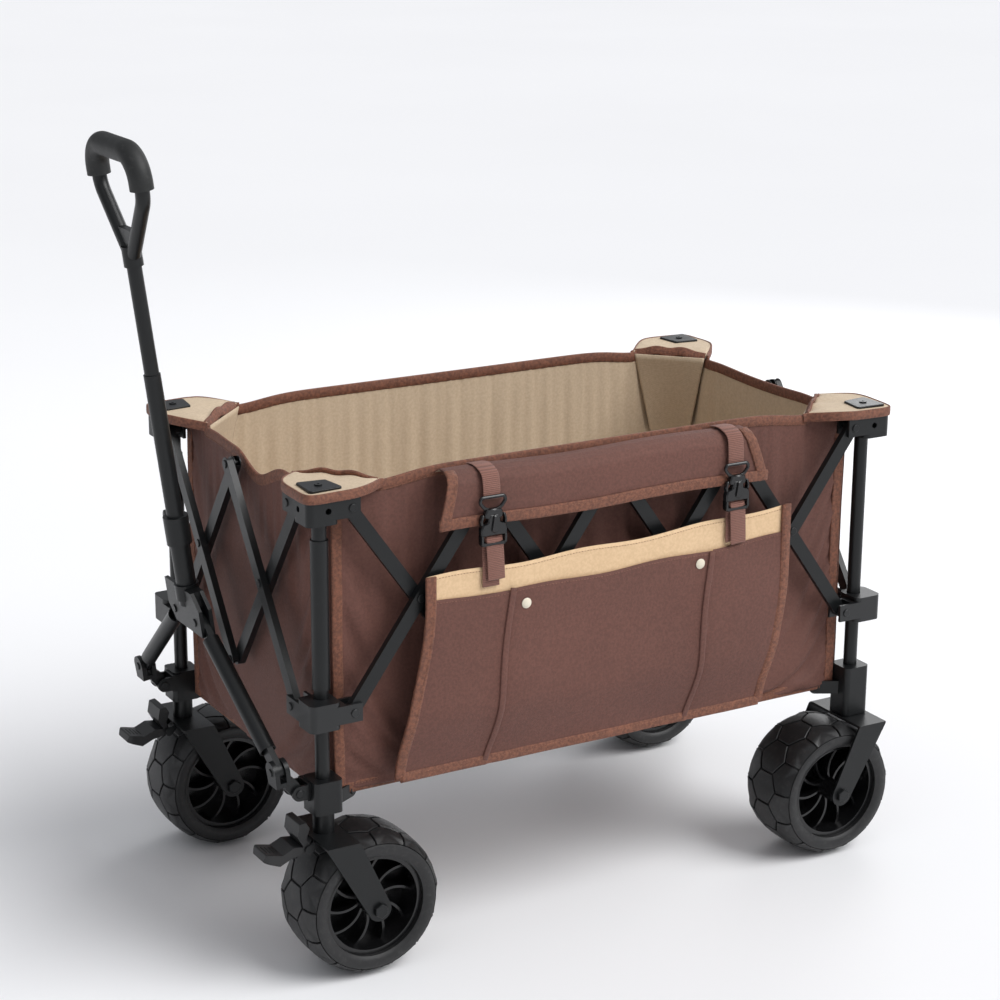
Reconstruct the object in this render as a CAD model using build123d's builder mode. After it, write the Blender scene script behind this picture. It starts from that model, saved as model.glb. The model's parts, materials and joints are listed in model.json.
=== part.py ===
"""Four-way folding camp cart: scissor frame on four wheels, fabric tub and a telescoping pull handle.

Frame of the model: Z is up, the ground is z = 0, -X is the front (handle end) and -Y is the left side,
which carries the outside pocket. The origin is on the ground, under the middle of the bounding box.
"""

from build123d import *
from math import asin, atan2, cos, hypot, radians, sin, sqrt, tan
import os

os.makedirs("parts", exist_ok=True)

# ---- driving dimensions, in millimetres and degrees ----

# scissor linkage
bar_span = 331.4  # between a bar's two end pivots
unit_width = 193.5  # one scissor unit along the side, cart open
long_units = 4
short_units = 2
bar_width = 18.0
bar_thick = 9.0
bar_wall = 1.2
layer_gap = 1.0  # between the rising and the falling bars
pivot_in = 33.0  # first pivot from the post's axis, along the side
pivot_out = 14.0  # plane between the two layers of bars, outward of the post's axis
pin_dia = 6.0
pin_clear = 0.1  # radial, in the piece that turns
head_dia = 11.0
head_thick = 1.8
side_gap = 0.4  # beside a bar, inside a clevis
end_gap = 1.6  # between a bar's round end and the wall behind it

# posts and their brackets
post_dia = 19.0
post_wall = 1.5
top_pivot_z = 628.0
bracket_height = 34.0
bracket_below = 12.0  # bracket's wings below the top pivot
block_drop = 6.0  # corner block, below the wings
cheek_outer = 4.0
cheek_inner = 4.0
block_inner = 15.0  # corner block, inward of the post's axis
cap_thick = 5.0
cap_outer = -22.0  # cap plate's corners from the post's axis
cap_inner = 19.0
cap_reach = 24.0
cap_kink = 2.0  # how far the plate narrows at its two side corners
cap_radius = 4.0
cap_screw_dia = 10.0
cap_screw_head = 1.5
spare_hole_dia = 8.0
spare_hole_depth = 10.0
sleeve_dia = 23.0  # cover tube on a front post
sleeve_length = 196.0
collar_clear = 0.4  # radial, collar on its post
collar_below = 12.0
collar_above = 12.0
foot_top_z = 269.0
foot_bottom_z = 225.0
rear_foot_bottom_z = 197.0
foot_half = 20.0
foot_web = 3.0  # floor of the socket under the post

# wheels and forks
wheel_dia = 194.0
rim_dia = 137.0
rim_wall = 6.0
rim_width = 83.0
tyre_width = 102.0
tyre_shoulder_dia = 177.0
tyre_tread_width = 68.0
hub_dia = 30.0
web_thick = 5.0
rib_count = 10
rib_thick = 3.4
rib_width = 50.0
rib_sweep = 9.0  # how far a rib bows sideways
axle_dia = 12.0
axle_clear = 0.1  # radial
fork_width = 118.0
fork_sheet = 3.0
fork_top_z = 196.0
fork_top_length = 46.0
fork_end_radius = 16.0
fork_bend = 5.0
trail = 50.0  # axle from the post's axis
hub_gap = 0.5  # between the hub and the fork, each side
stem_dia = 12.0
stem_clear = 0.1
stem_in = 15.0  # stem inside the foot bracket
race_dia = 28.0
race_height = 27.0
bolt_head_dia = 20.0
bolt_head_thick = 6.0

# brake pedals on the front forks
pedal_width = 40.0
pedal_reach = 58.0
pedal_rise = 36.0
pedal_round = 10.0
pedal_groove = 2.0
pedal_pin_dia = 4.0
pedal_pivot_x = -31.0  # from the post's axis
pedal_pivot_z = 184.0
pedal_barrel = 9.0
lug_radius = 6.0
lug_root_x = 10.0  # where a lug meets the crown, from the pedal's pin
lug_root_height = 4.0

# bottom struts and hub plate
strut_pivot_r = 50.0  # from the post's axis, towards the cart's middle
strut_pivot_z = 236.0
strut_dia = 13.0
lug_thick = 4.0
hub_arm = 90.0  # strut's inner pivot from the middle
hub_thick = 5.0
hub_plate_z = 249.0
hub_arm_width = 30.0

# fabric
wall_in = 12.0  # outer face of the tub's wall, inward of the post's axis
fabric = 3.0
corner_cut = 45.0  # where a wall turns to cross the corner
tub_top_z = 648.0
tub_bottom_z = 248.0
corner_bottom_z = 276.0
floor_z = 258.0
floor_thick = 4.0
mat_thick = 6.0
mat_gap = 1.0
pocket_gap = 2.5  # pocket's back, outside the bars' rivets
pocket_width = 560.0
pocket_middle_x = -20.0
pocket_bottom_z = 267.0
pocket_back_top_z = 530.0
pocket_front_top_z = 495.0
pocket_depth = 18.0
pocket_sheet = 2.0

# pull handle
handle_lean = 7.5
tilt_x = -35.0  # tilt pin from the post's axis
tilt_z = 255.0
leg_pin_x = -58.0
leg_pin_z = 287.0
leg_pin_in = 8.5  # inward of the post's axis
barrel_width = 20.0
leg_span = 236.0
leg_dia = 22.0
leg_wall = 1.5
leg_tang = 8.0
leg_tang_width = 20.0
leg_tube_start = 30.0  # from each pin
rivet_half = 33.0  # junction rivets from the middle
junction_half = 52.0
junction_below = 16.0
junction_above = 40.0
junction_plate = 5.0
junction_gap = 8.8  # between the two plates
outer_tube_dia = 26.0
outer_tube_wall = 1.8
outer_tube_start = 15.0  # along the handle, from the junction rivets
outer_tube_end = 128.0
lock_dia = 33.0
lock_start = 100.0
lock_length = 38.0
middle_tube_dia = 22.0
middle_tube_wall = 1.3
middle_tube_start = 92.0
middle_tube_end = 330.0
top_tube_dia = 19.0
top_tube_wall = 1.4
top_tube_start = 288.0
top_tube_end = 486.0
slide_clear = 0.2  # radial, between handle tubes
grip_bar = 622.0  # grip's top bar, along the handle
grip_half = 70.0
grip_shoulder = 566.0
grip_socket_dia = 25.0
grip_tube_dia = 18.5
foam_dia = 30.0
foam_gap = 0.1  # radial, the glue film on its tube
foam_bend = 34.0
foam_margin = 1.0  # straight tube left below the foam's lower ends
grip_foot_y = grip_tube_dia / 2 - 3
shoulder_turn = atan2(grip_half - grip_foot_y, grip_shoulder - top_tube_end - 2)
foam_start = grip_shoulder + foam_bend * tan(shoulder_turn / 2) + foam_margin

# ---- worked out from them ----

bar_rise = sqrt(bar_span**2 - unit_width**2)
low_pivot_z = top_pivot_z - bar_rise
half_long = (long_units * unit_width + 2 * pivot_in) / 2
half_short = (short_units * unit_width + 2 * pivot_in) / 2
layer_pitch = bar_thick + layer_gap
outer_face = pivot_out + layer_pitch / 2 + bar_thick / 2  # of the rising bars
inner_face = pivot_out - layer_pitch / 2 - bar_thick / 2  # of the falling bars
cheek_out = outer_face + side_gap
cheek_in = inner_face - side_gap
block_out = cheek_out + cheek_outer
wing_reach = pivot_in + bar_width / 2 + 2
slot_start = pivot_in - bar_width / 2 - end_gap
bracket_z = top_pivot_z - bracket_below
bracket_top_z = bracket_z + bracket_height
axle_z = wheel_dia / 2
fork_half = fork_width / 2
lean = radians(handle_lean)
pin_y = half_short - leg_pin_in
leg_angle = asin((pin_y - rivet_half) / leg_span)
junction_up = leg_span * cos(leg_angle)
frame_front = -half_long + leg_pin_x - (junction_up + grip_bar) * sin(lean) - foam_dia / 2
frame_back = half_long - trail + wheel_dia / 2
middle_x = -(frame_front + frame_back) / 2  # puts the origin under the box's middle
front_x = middle_x - half_long
rear_x = middle_x + half_long
junction_x = front_x + leg_pin_x - junction_up * sin(lean)
junction_z = leg_pin_z + junction_up * cos(lean)

up = Vector(0, 0, 1)
corners = {
    "front_left": Vector(front_x, -half_short, 0),
    "front_right": Vector(front_x, half_short, 0),
    "rear_left": Vector(rear_x, -half_short, 0),
    "rear_right": Vector(rear_x, half_short, 0),
}
# local x and y of a corner's brackets both point inward, one along each side
corner_x_dir = {
    "front_left": Vector(1, 0, 0),
    "front_right": Vector(0, -1, 0),
    "rear_left": Vector(0, 1, 0),
    "rear_right": Vector(-1, 0, 0),
}
# side: (corner it starts from, direction along it, outward direction, number of units)
sides = {
    "left": ("front_left", Vector(1, 0, 0), Vector(0, -1, 0), long_units),
    "right": ("front_right", Vector(1, 0, 0), Vector(0, 1, 0), long_units),
    "front": ("front_left", Vector(0, 1, 0), Vector(-1, 0, 0), short_units),
    "rear": ("rear_left", Vector(0, 1, 0), Vector(1, 0, 0), short_units),
}


def corner_plane(corner, z):
    """Horizontal plane on a corner's post axis."""
    return Plane(corners[corner] + up * z, x_dir=corner_x_dir[corner], z_dir=up)


def pivot_point(side, column, z):
    """Point on a side's pivot line, between its two layers of bars."""
    corner, along, outward, units = sides[side]
    reach = pivot_in + column * unit_width
    return corners[corner] + along * reach + outward * pivot_out + up * z


def handle_point(y, s):
    """Point in the handle's plane: y across, s along the handle from the junction rivets."""
    return Vector(junction_x - s * sin(lean), y, junction_z + s * cos(lean))


def handle_plane(y=0.0, s=0.0):
    """The handle's own plane: local x is +Y, local y runs up the handle."""
    return Plane(handle_point(y, s), x_dir=(0, 1, 0), z_dir=(cos(lean), 0, sin(lean)))


def handle_cross(s):
    """Plane square to the handle, facing up it."""
    return Plane(handle_point(0, s), x_dir=(0, 1, 0), z_dir=(-sin(lean), 0, cos(lean)))


def save(name, *pieces):
    """Write one node: a piece, or a group of separate pieces that are fixed together."""
    node = pieces[0] if len(pieces) == 1 else Compound(children=list(pieces))
    node.label = name
    export_step(node, f"parts/{name}.step")


def tube(plane, length, outside, inside):
    """Straight round tube, or a rod where inside is 0, that starts on the plane."""
    with BuildPart() as straight:
        with BuildSketch(plane):
            Circle(outside / 2)
            if inside:
                Circle(inside / 2, mode=Mode.SUBTRACT)
        extrude(amount=length)
    return straight.part


# ---- scissor bars ----


def scissor_bar(side, unit, rising):
    """Flat tube with rounded ends and three pivot holes; a rising bar carries the rivets."""
    corner, along, outward, units = sides[side]
    low, high = (unit, unit + 1) if rising else (unit + 1, unit)
    foot = pivot_point(side, low, low_pivot_z)
    head = pivot_point(side, high, top_pivot_z)
    layer = layer_pitch / 2 if rising else -layer_pitch / 2
    middle = (foot + head) / 2 + outward * layer
    flat = Plane(middle, x_dir=head - foot, z_dir=outward)
    riveted = [rising and low > 0, rising, rising and high < units]
    with BuildPart() as bar:
        with BuildSketch(flat):
            SlotCenterToCenter(bar_span, bar_width)
        extrude(amount=bar_thick / 2, both=True)
        with BuildSketch(flat):
            Rectangle(bar_span + 2 * bar_width, bar_width - 2 * bar_wall)
        extrude(amount=bar_thick / 2 - bar_wall, both=True, mode=Mode.SUBTRACT)
        for place, fixed in zip((-bar_span / 2, 0, bar_span / 2), riveted):
            with BuildSketch(flat):
                with Locations((place, 0)):
                    Circle(pin_dia / 2 + (0 if fixed else pin_clear))
            extrude(amount=bar_thick, both=True, mode=Mode.SUBTRACT)
    pieces = [bar.part]
    for point, fixed in zip((foot, (foot + head) / 2, head), riveted):
        if fixed:
            start = point + outward * (inner_face - side_gap - pivot_out)
            shank = outer_face - inner_face + side_gap
            pieces.append(rivet(Plane(start, z_dir=outward), shank))
    kind = "rising" if rising else "falling"
    save(f"{side}_{kind}_bar_{unit + 1}", *pieces)


def rivet(plane, shank):
    """Rivet with a low round head at each end of its shank."""
    with BuildPart() as pin:
        with BuildSketch(plane):
            Circle(pin_dia / 2)
        extrude(amount=shank)
        with BuildSketch(plane, plane.offset(shank + head_thick)):
            Circle(head_dia / 2)
        extrude(amount=-head_thick)
        rims = pin.edges().filter_by(GeomType.CIRCLE).sort_by(Axis(plane.origin, plane.z_dir))
        fillet([rims[0], rims[-1]], head_thick * 0.7)
    return pin.part


for side_name, (_, _, _, unit_count) in sides.items():
    for unit_number in range(unit_count):
        scissor_bar(side_name, unit_number, True)
        scissor_bar(side_name, unit_number, False)

# ---- corner brackets ----


def clevis_block(corner, pivot_z, wing_z, wing_height, block_z, block_height, bore, bore_z,
                 bore_height):
    """Corner block with a forked wing along each side, open where the bars turn."""
    with BuildPart() as block:
        with BuildSketch(corner_plane(corner, block_z)):
            with Locations(((block_inner - block_out) / 2, (block_inner - block_out) / 2)):
                RectangleRounded(block_inner + block_out, block_inner + block_out, 9)
        extrude(amount=block_height)
        with BuildSketch(corner_plane(corner, wing_z)):
            with Locations(((wing_reach - pivot_out) / 2, -block_out / 2)):
                Rectangle(wing_reach + pivot_out, block_out)
            with Locations((-block_out / 2, (wing_reach - pivot_out) / 2)):
                Rectangle(block_out, wing_reach + pivot_out)
        extrude(amount=wing_height)
        with BuildSketch(corner_plane(corner, wing_z)):
            slot_length = wing_reach - slot_start + 1
            slot_width = cheek_out - cheek_in
            with Locations((slot_start + slot_length / 2, -(cheek_out + cheek_in) / 2)):
                Rectangle(slot_length, slot_width)
            with Locations((-(cheek_out + cheek_in) / 2, slot_start + slot_length / 2)):
                Rectangle(slot_width, slot_length)
            inner_trim = wing_reach + 1
            trim_past = slot_start + inner_trim / 2
            trim_face = inner_trim / 2 - cheek_in + cheek_inner
            with Locations((trim_past, trim_face), (trim_face, trim_past)):
                Rectangle(inner_trim, inner_trim)
        extrude(amount=wing_height, mode=Mode.SUBTRACT)
        with BuildSketch(corner_plane(corner, bore_z)):
            Circle(bore / 2)
        extrude(amount=bore_height, mode=Mode.SUBTRACT)
        for plane in wing_planes(corner, pivot_z):
            with BuildSketch(plane):
                Circle(pin_dia / 2)
            extrude(amount=block_out + block_inner, both=True, mode=Mode.SUBTRACT)
    return block.part


def wing_planes(corner, z):
    """Planes on the two wing pins' axes, at the inner cheek's inner face, facing outward."""
    base = corner_plane(corner, z)
    inner = cheek_in - cheek_inner
    along_x = base.origin + base.x_dir * pivot_in - base.y_dir * inner
    along_y = base.origin + base.y_dir * pivot_in - base.x_dir * inner
    return Plane(along_x, z_dir=-base.y_dir), Plane(along_y, z_dir=-base.x_dir)


def long_wing_is_first(corner):
    """True where the bracket's first wing runs along the cart's long side."""
    return abs(corner_x_dir[corner].X) > 0.5


def wing_pins(corner, z, rising_on_long, rising_on_short):
    """Pins of a bracket's two wings, each with a spacer in the layer that has no bar."""
    pieces = []
    first, second = rising_on_long, rising_on_short
    if not long_wing_is_first(corner):
        first, second = second, first
    for plane, rising in zip(wing_planes(corner, z), (first, second)):
        length = block_out - (cheek_in - cheek_inner)
        pieces.append(rivet(plane, length))
        inner = cheek_in - cheek_inner
        free_layer = inner_face if rising else inner_face + layer_pitch
        ring_plane = plane.offset(free_layer - inner)
        pieces.append(tube(ring_plane, bar_thick, pin_dia * 2, pin_dia))
    return pieces


def top_bracket(corner, rising_on_long, rising_on_short):
    """Plastic bracket on top of a post, its cap plate and its wing pins."""
    block_z = bracket_z - block_drop
    block = clevis_block(corner, top_pivot_z, bracket_z, bracket_height, block_z, bracket_height + block_drop,
                         post_dia, block_z, bracket_height + block_drop - cheek_outer)
    with BuildPart() as drilled:
        add(block)
        base = corner_plane(corner, top_pivot_z)
        for direction in (base.x_dir, base.y_dir):
            face = base.origin - direction * block_out
            with BuildSketch(Plane(face, z_dir=direction)):
                Circle(spare_hole_dia / 2)
            extrude(amount=spare_hole_depth, mode=Mode.SUBTRACT)
    with BuildPart() as cap:
        with BuildSketch(corner_plane(corner, bracket_top_z)):
            with BuildLine():
                FilletPolyline((cap_outer, cap_outer), (cap_reach, cap_outer + cap_kink),
                               (cap_inner, cap_inner), (cap_outer + cap_kink, cap_reach),
                               close=True, radius=cap_radius)
            make_face()
        extrude(amount=cap_thick)
        fillet(cap.faces().sort_by(Axis.Z)[-1].edges(), 1.2)
    screw_plane = corner_plane(corner, bracket_top_z + cap_thick)
    with BuildPart() as screw:
        with BuildSketch(screw_plane):
            Circle(cap_screw_dia / 2)
        extrude(amount=cap_screw_head)
        with BuildSketch(screw_plane.offset(cap_screw_head / 2)):
            RegularPolygon(cap_screw_dia / 5, 6)
        extrude(amount=cap_screw_head, mode=Mode.SUBTRACT)
    pins = wing_pins(corner, top_pivot_z, rising_on_long, rising_on_short)
    return [drilled.part, cap.part, screw.part, *pins]


def collar(corner, rising_on_long, rising_on_short):
    """Sliding collar that carries the lower pivots at a corner."""
    low = low_pivot_z - collar_below
    height = collar_below + collar_above
    block = clevis_block(corner, low_pivot_z, low, height, low - block_drop, height + 2 * block_drop,
                         post_dia + 2 * collar_clear, low - 2 * block_drop,
                         height + 5 * block_drop)
    pins = wing_pins(corner, low_pivot_z, rising_on_long, rising_on_short)
    save(f"{corner}_collar", block, *pins)


# ---- forks ----


def fork(corner, is_rear):
    """Steel fork over a wheel, a crown and two legs, with its axle bolt."""
    lean_dir = -1 if is_rear else 1
    post = corners[corner]
    side_plane = Plane(post, x_dir=(1, 0, 0), z_dir=(0, -1, 0))
    axle = (lean_dir * trail, axle_z)
    across = Plane(post, x_dir=(0, 1, 0), z_dir=(1, 0, 0))
    depth = trail + fork_end_radius
    with BuildPart() as sheet:
        with BuildSketch(across) as bent:
            with Locations((0, fork_top_z / 2)):
                Rectangle(fork_width, fork_top_z)
            fillet(bent.vertices().sort_by(Axis.Z)[-2:], fork_bend)
            with Locations((0, fork_top_z / 2 - fork_sheet)):
                Rectangle(fork_width - 2 * fork_sheet, fork_top_z, mode=Mode.SUBTRACT)
        extrude(amount=depth, both=True)
        with BuildSketch(side_plane):
            with Locations(axle):
                Circle(fork_end_radius)
            with Locations((0, fork_top_z - fork_sheet / 2)):
                Rectangle(fork_top_length, fork_sheet)
            make_hull()
        extrude(amount=fork_width, both=True, mode=Mode.INTERSECT)
        with BuildSketch(side_plane):
            with Locations(axle):
                Circle(axle_dia / 2)
        extrude(amount=fork_width, both=True, mode=Mode.SUBTRACT)
        split(bisect_by=Plane.XY.offset(fork_top_z - fork_bend), keep=Keep.BOTH)
    bolt_start = post + Vector(axle[0], fork_half, axle_z)
    with BuildPart() as bolt:
        bolt_plane = Plane(bolt_start, z_dir=(0, -1, 0))
        with BuildSketch(bolt_plane):
            Circle(axle_dia / 2)
        extrude(amount=fork_width)
        with BuildSketch(bolt_plane.offset(-bolt_head_thick), bolt_plane.offset(fork_width)):
            RegularPolygon(bolt_head_dia / 2, 6)
        extrude(amount=bolt_head_thick)
        fillet(bolt.faces().sort_by(Axis.Y)[0].edges() + bolt.faces().sort_by(Axis.Y)[-1].edges(),
               1.5)
    return [sheet.part, bolt.part]


def front_fork(corner):
    """Swivelling caster fork with its stem and bearing race."""
    base = Plane(corners[corner] + up * fork_top_z, z_dir=up)
    stem = tube(base, foot_bottom_z - fork_top_z + stem_in, stem_dia, 0)
    race = tube(base, race_height, race_dia, stem_dia)
    lug_gap = pedal_width / 2 + side_gap
    pivot = corners[corner] + Vector(pedal_pivot_x, 0, pedal_pivot_z)
    lugs = []
    for lug_start in (-lug_gap, lug_gap + fork_sheet):
        with BuildPart() as lug:
            with BuildSketch(Plane(pivot + Vector(0, lug_start, 0), x_dir=(1, 0, 0), z_dir=(0, -1, 0))):
                Circle(lug_radius)
                with Locations((lug_root_x, fork_top_z - fork_sheet - pedal_pivot_z - lug_root_height / 2)):
                    Rectangle(lug_radius, lug_root_height)
                make_hull()
                Circle(pedal_pin_dia / 2, mode=Mode.SUBTRACT)
            extrude(amount=fork_sheet)
        lugs.append(lug.part)
    pin_start = pivot + Vector(0, lug_gap + fork_sheet, 0)
    pin = tube(Plane(pin_start, z_dir=(0, -1, 0)), 2 * (lug_gap + fork_sheet), pedal_pin_dia, 0)
    save(f"{corner}_fork", *fork(corner, False), stem, race, *lugs, pin)


def brake_pedal(corner):
    """Foot brake with a front pad and an upper pad, hinged at the front of a caster fork."""
    pivot = corners[corner] + Vector(pedal_pivot_x, 0, pedal_pivot_z)
    side_plane = Plane(pivot, x_dir=(1, 0, 0), z_dir=(0, -1, 0))
    half_barrel = pedal_barrel / 2
    with BuildPart() as pedal:
        with BuildSketch(side_plane):
            Circle(half_barrel)
            with BuildLine():
                FilletPolyline((0, half_barrel - 1), (-20, 6), (-36, -1), (-pedal_reach, 4),
                               (-pedal_reach - 4, -6), (-40, -15), (-24, -8), (0, 1 - half_barrel),
                               close=True, radius=2)
            make_face()
            with BuildLine():
                FilletPolyline((-half_barrel, 0), (-15, 19), (-12, pedal_rise), (-3, pedal_rise + 1),
                               (2, 28), (-3, 14), (half_barrel - 1, 0), close=True, radius=1.5)
            make_face()
            Circle(pedal_pin_dia / 2 + pin_clear, mode=Mode.SUBTRACT)
        extrude(amount=pedal_width / 2, both=True)
        plan_length = pedal_reach + pedal_round + pedal_barrel
        with BuildSketch(Plane(pivot, z_dir=up)):
            with Locations((plan_length / 2 - pedal_reach - half_barrel, 0)):
                RectangleRounded(plan_length, pedal_width, pedal_round)
        extrude(amount=pedal_reach, both=True, mode=Mode.INTERSECT)
        for groove in range(4):
            with BuildSketch(side_plane):
                with Locations((-pedal_reach + 5 + 5 * groove, 2.6 - 1.2 * groove)):
                    Circle(pedal_groove / 2)
            extrude(amount=pedal_width / 2 - pedal_round, both=True, mode=Mode.SUBTRACT)
    save(f"{corner}_brake_pedal", pedal.part)


# ---- wheels ----


def rim(corner, is_rear):
    """Moulded rim: ring, hub, and a web with curved ribs on both its faces."""
    axle_x = -trail if is_rear else trail
    centre = corners[corner] + Vector(axle_x, 0, axle_z)
    flat = Plane(centre, x_dir=(1, 0, 0), z_dir=(0, -1, 0))
    hub_half = fork_half - fork_sheet - hub_gap
    ring_inner = rim_dia / 2 - rim_wall
    rib_start = hub_dia / 2 - rib_thick
    rib_end = ring_inner + rim_wall / 2
    rib_line = [Vector(rib_start, 0), Vector((rib_start + rib_end) / 2, rib_sweep),
                Vector(ring_inner - rib_thick, rib_sweep / 4), Vector(rib_end, -rib_sweep / 3)]
    with BuildPart() as wheel:
        with BuildSketch(flat):
            Circle(rim_dia / 2)
            Circle(ring_inner, mode=Mode.SUBTRACT)
        extrude(amount=rim_width / 2, both=True)
        with BuildSketch(flat):
            Circle(rib_end)
        extrude(amount=web_thick / 2, both=True)
        with BuildSketch(flat):
            Circle(hub_dia / 2)
        extrude(amount=hub_half, both=True)
        with BuildSketch(flat):
            for rib in range(rib_count):
                with BuildLine():
                    Spline([point.rotate(Axis.Z, rib * 360 / rib_count) for point in rib_line])
                trace(line_width=rib_thick)
        extrude(amount=rib_width / 2, both=True)
        with BuildSketch(flat):
            Circle(axle_dia / 2 + axle_clear)
        extrude(amount=fork_width, both=True, mode=Mode.SUBTRACT)
    save(f"{corner}_rim", wheel.part)


def tyre(corner, is_rear):
    """Wide foam tyre, rounded at its shoulders."""
    axle_x = -trail if is_rear else trail
    centre = corners[corner] + Vector(axle_x, 0, axle_z)
    section = Plane(centre, x_dir=(0, 1, 0), z_dir=(1, 0, 0))
    with BuildPart() as ring:
        with BuildSketch(section):
            with BuildLine():
                side = tyre_width / 2
                tread = tyre_tread_width / 2
                Polyline((-side + 6, rim_dia / 2), (side - 6, rim_dia / 2))
                Line((side - 6, rim_dia / 2), (side, rim_dia / 2 + 6))
                Line((side, rim_dia / 2 + 6), (side, tyre_shoulder_dia / 2 - 4))
                ThreePointArc((side, tyre_shoulder_dia / 2 - 4),
                              (side - 5, tyre_shoulder_dia / 2 + 2.5), (tread, wheel_dia / 2 - 1))
                ThreePointArc((tread, wheel_dia / 2 - 1), (0, wheel_dia / 2),
                              (-tread, wheel_dia / 2 - 1))
                ThreePointArc((-tread, wheel_dia / 2 - 1),
                              (-side + 5, tyre_shoulder_dia / 2 + 2.5),
                              (-side, tyre_shoulder_dia / 2 - 4))
                Line((-side, tyre_shoulder_dia / 2 - 4), (-side, rim_dia / 2 + 6))
                Line((-side, rim_dia / 2 + 6), (-side + 6, rim_dia / 2))
            make_face()
        revolve(axis=Axis(centre, (0, 1, 0)))
    save(f"{corner}_tyre", ring.part)


# ---- posts with what is fixed to them ----


def strut_direction(corner):
    """Level unit vector from a post towards the cart's middle."""
    return (Vector(middle_x, 0, 0) - corners[corner]).normalized()


def foot_bracket(corner, is_rear):
    """Socket under a post, with the strut's lugs and pin; a front one has the handle's ears."""
    bottom = rear_foot_bottom_z if is_rear else foot_bottom_z
    inward = strut_direction(corner)
    lug_half = strut_dia / 2 + side_gap
    cross = inward.cross(up)
    with BuildPart() as foot:
        with BuildSketch(corner_plane(corner, bottom)):
            RectangleRounded(2 * foot_half, 2 * foot_half, 7)
        extrude(amount=foot_top_z - bottom)
        for sign in (-1, 1):
            start = corners[corner] + cross * (sign * lug_half) + up * strut_pivot_z
            lug_plane = Plane(start, x_dir=inward, z_dir=cross * sign)
            with BuildSketch(lug_plane):
                with Locations((strut_pivot_r, 0)):
                    Circle(strut_dia / 2 + 3)
                with Locations((foot_half / 2, 0)):
                    Rectangle(4, strut_dia + 6)
                make_hull()
            extrude(amount=lug_thick)
        with BuildSketch(Plane(corners[corner] + up * strut_pivot_z, x_dir=inward, z_dir=cross)):
            with Locations((strut_pivot_r, 0)):
                Circle(pin_dia / 2)
        extrude(amount=lug_half + lug_thick, both=True, mode=Mode.SUBTRACT)
        with BuildSketch(corner_plane(corner, foot_top_z)):
            Circle(post_dia / 2)
        extrude(amount=-(foot_top_z - foot_bottom_z - stem_in - foot_web - 1), mode=Mode.SUBTRACT)
        if not is_rear:
            with BuildSketch(corner_plane(corner, foot_bottom_z)):
                Circle(stem_dia / 2 + stem_clear)
            extrude(amount=stem_in + 1, mode=Mode.SUBTRACT)
            pivot_y = pin_y if corners[corner].Y > 0 else -pin_y
            ear_half = barrel_width / 2 + side_gap
            tilt = Vector(front_x + tilt_x, pivot_y, tilt_z)
            with Locations(Plane((front_x - foot_half + 3, pivot_y, tilt_z), z_dir=up)):
                Box(14, 2 * (ear_half + lug_thick), 24)
            for sign in (-1, 1):
                ear_start = tilt + Vector(0, sign * ear_half, 0)
                with BuildSketch(Plane(ear_start, x_dir=(sign, 0, 0), z_dir=(0, sign, 0))):
                    Circle(10)
                    with Locations((-sign * tilt_x * 0.4, 0)):
                        Rectangle(6, 20)
                    make_hull()
                    Circle(pin_dia / 2, mode=Mode.SUBTRACT)
                extrude(amount=lug_thick)
    pin_start = corners[corner] + inward * strut_pivot_r + up * strut_pivot_z
    pin_start = pin_start - cross * (lug_half + lug_thick)
    pieces = [foot.part, rivet(Plane(pin_start, z_dir=cross), 2 * (lug_half + lug_thick))]
    if not is_rear:
        tilt_pin_start = tilt - Vector(0, ear_half + lug_thick, 0)
        pieces.append(rivet(Plane(tilt_pin_start, z_dir=(0, 1, 0)), 2 * (ear_half + lug_thick)))
    return pieces


def post(corner, is_rear, rising_on_long, rising_on_short):
    """Corner post with its brackets; a rear post has its fixed fork too."""
    bottom = foot_bottom_z + stem_in + foot_web + 1
    top = bracket_z + bracket_height - cheek_outer
    tube_part = tube(corner_plane(corner, bottom), top - bottom, post_dia,
                     post_dia - 2 * post_wall)
    pieces = [tube_part, *top_bracket(corner, rising_on_long, rising_on_short)]
    pieces += foot_bracket(corner, is_rear)
    if is_rear:
        pieces += fork(corner, True)
        base = Plane(corners[corner] + up * fork_top_z, z_dir=up)
        pieces.append(tube(base, rear_foot_bottom_z - fork_top_z, race_dia, 0))
    else:
        sleeve_z = low_pivot_z + collar_above + 3 * block_drop
        pieces.append(tube(corner_plane(corner, sleeve_z), sleeve_length, sleeve_dia, post_dia))
    save(f"{corner}_post", *pieces)


post("front_left", False, False, False)
post("front_right", False, False, True)
post("rear_left", True, True, False)
post("rear_right", True, True, True)
collar("front_left", True, True)
collar("front_right", True, False)
collar("rear_left", False, True)
collar("rear_right", False, False)

for corner_name in corners:
    at_rear = corner_name.startswith("rear")
    rim(corner_name, at_rear)
    tyre(corner_name, at_rear)
    if not at_rear:
        front_fork(corner_name)
        brake_pedal(corner_name)

# ---- bottom struts and hub plate ----

post_to_middle = hypot(half_long, half_short)
strut_span = post_to_middle - strut_pivot_r - hub_arm


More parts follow.
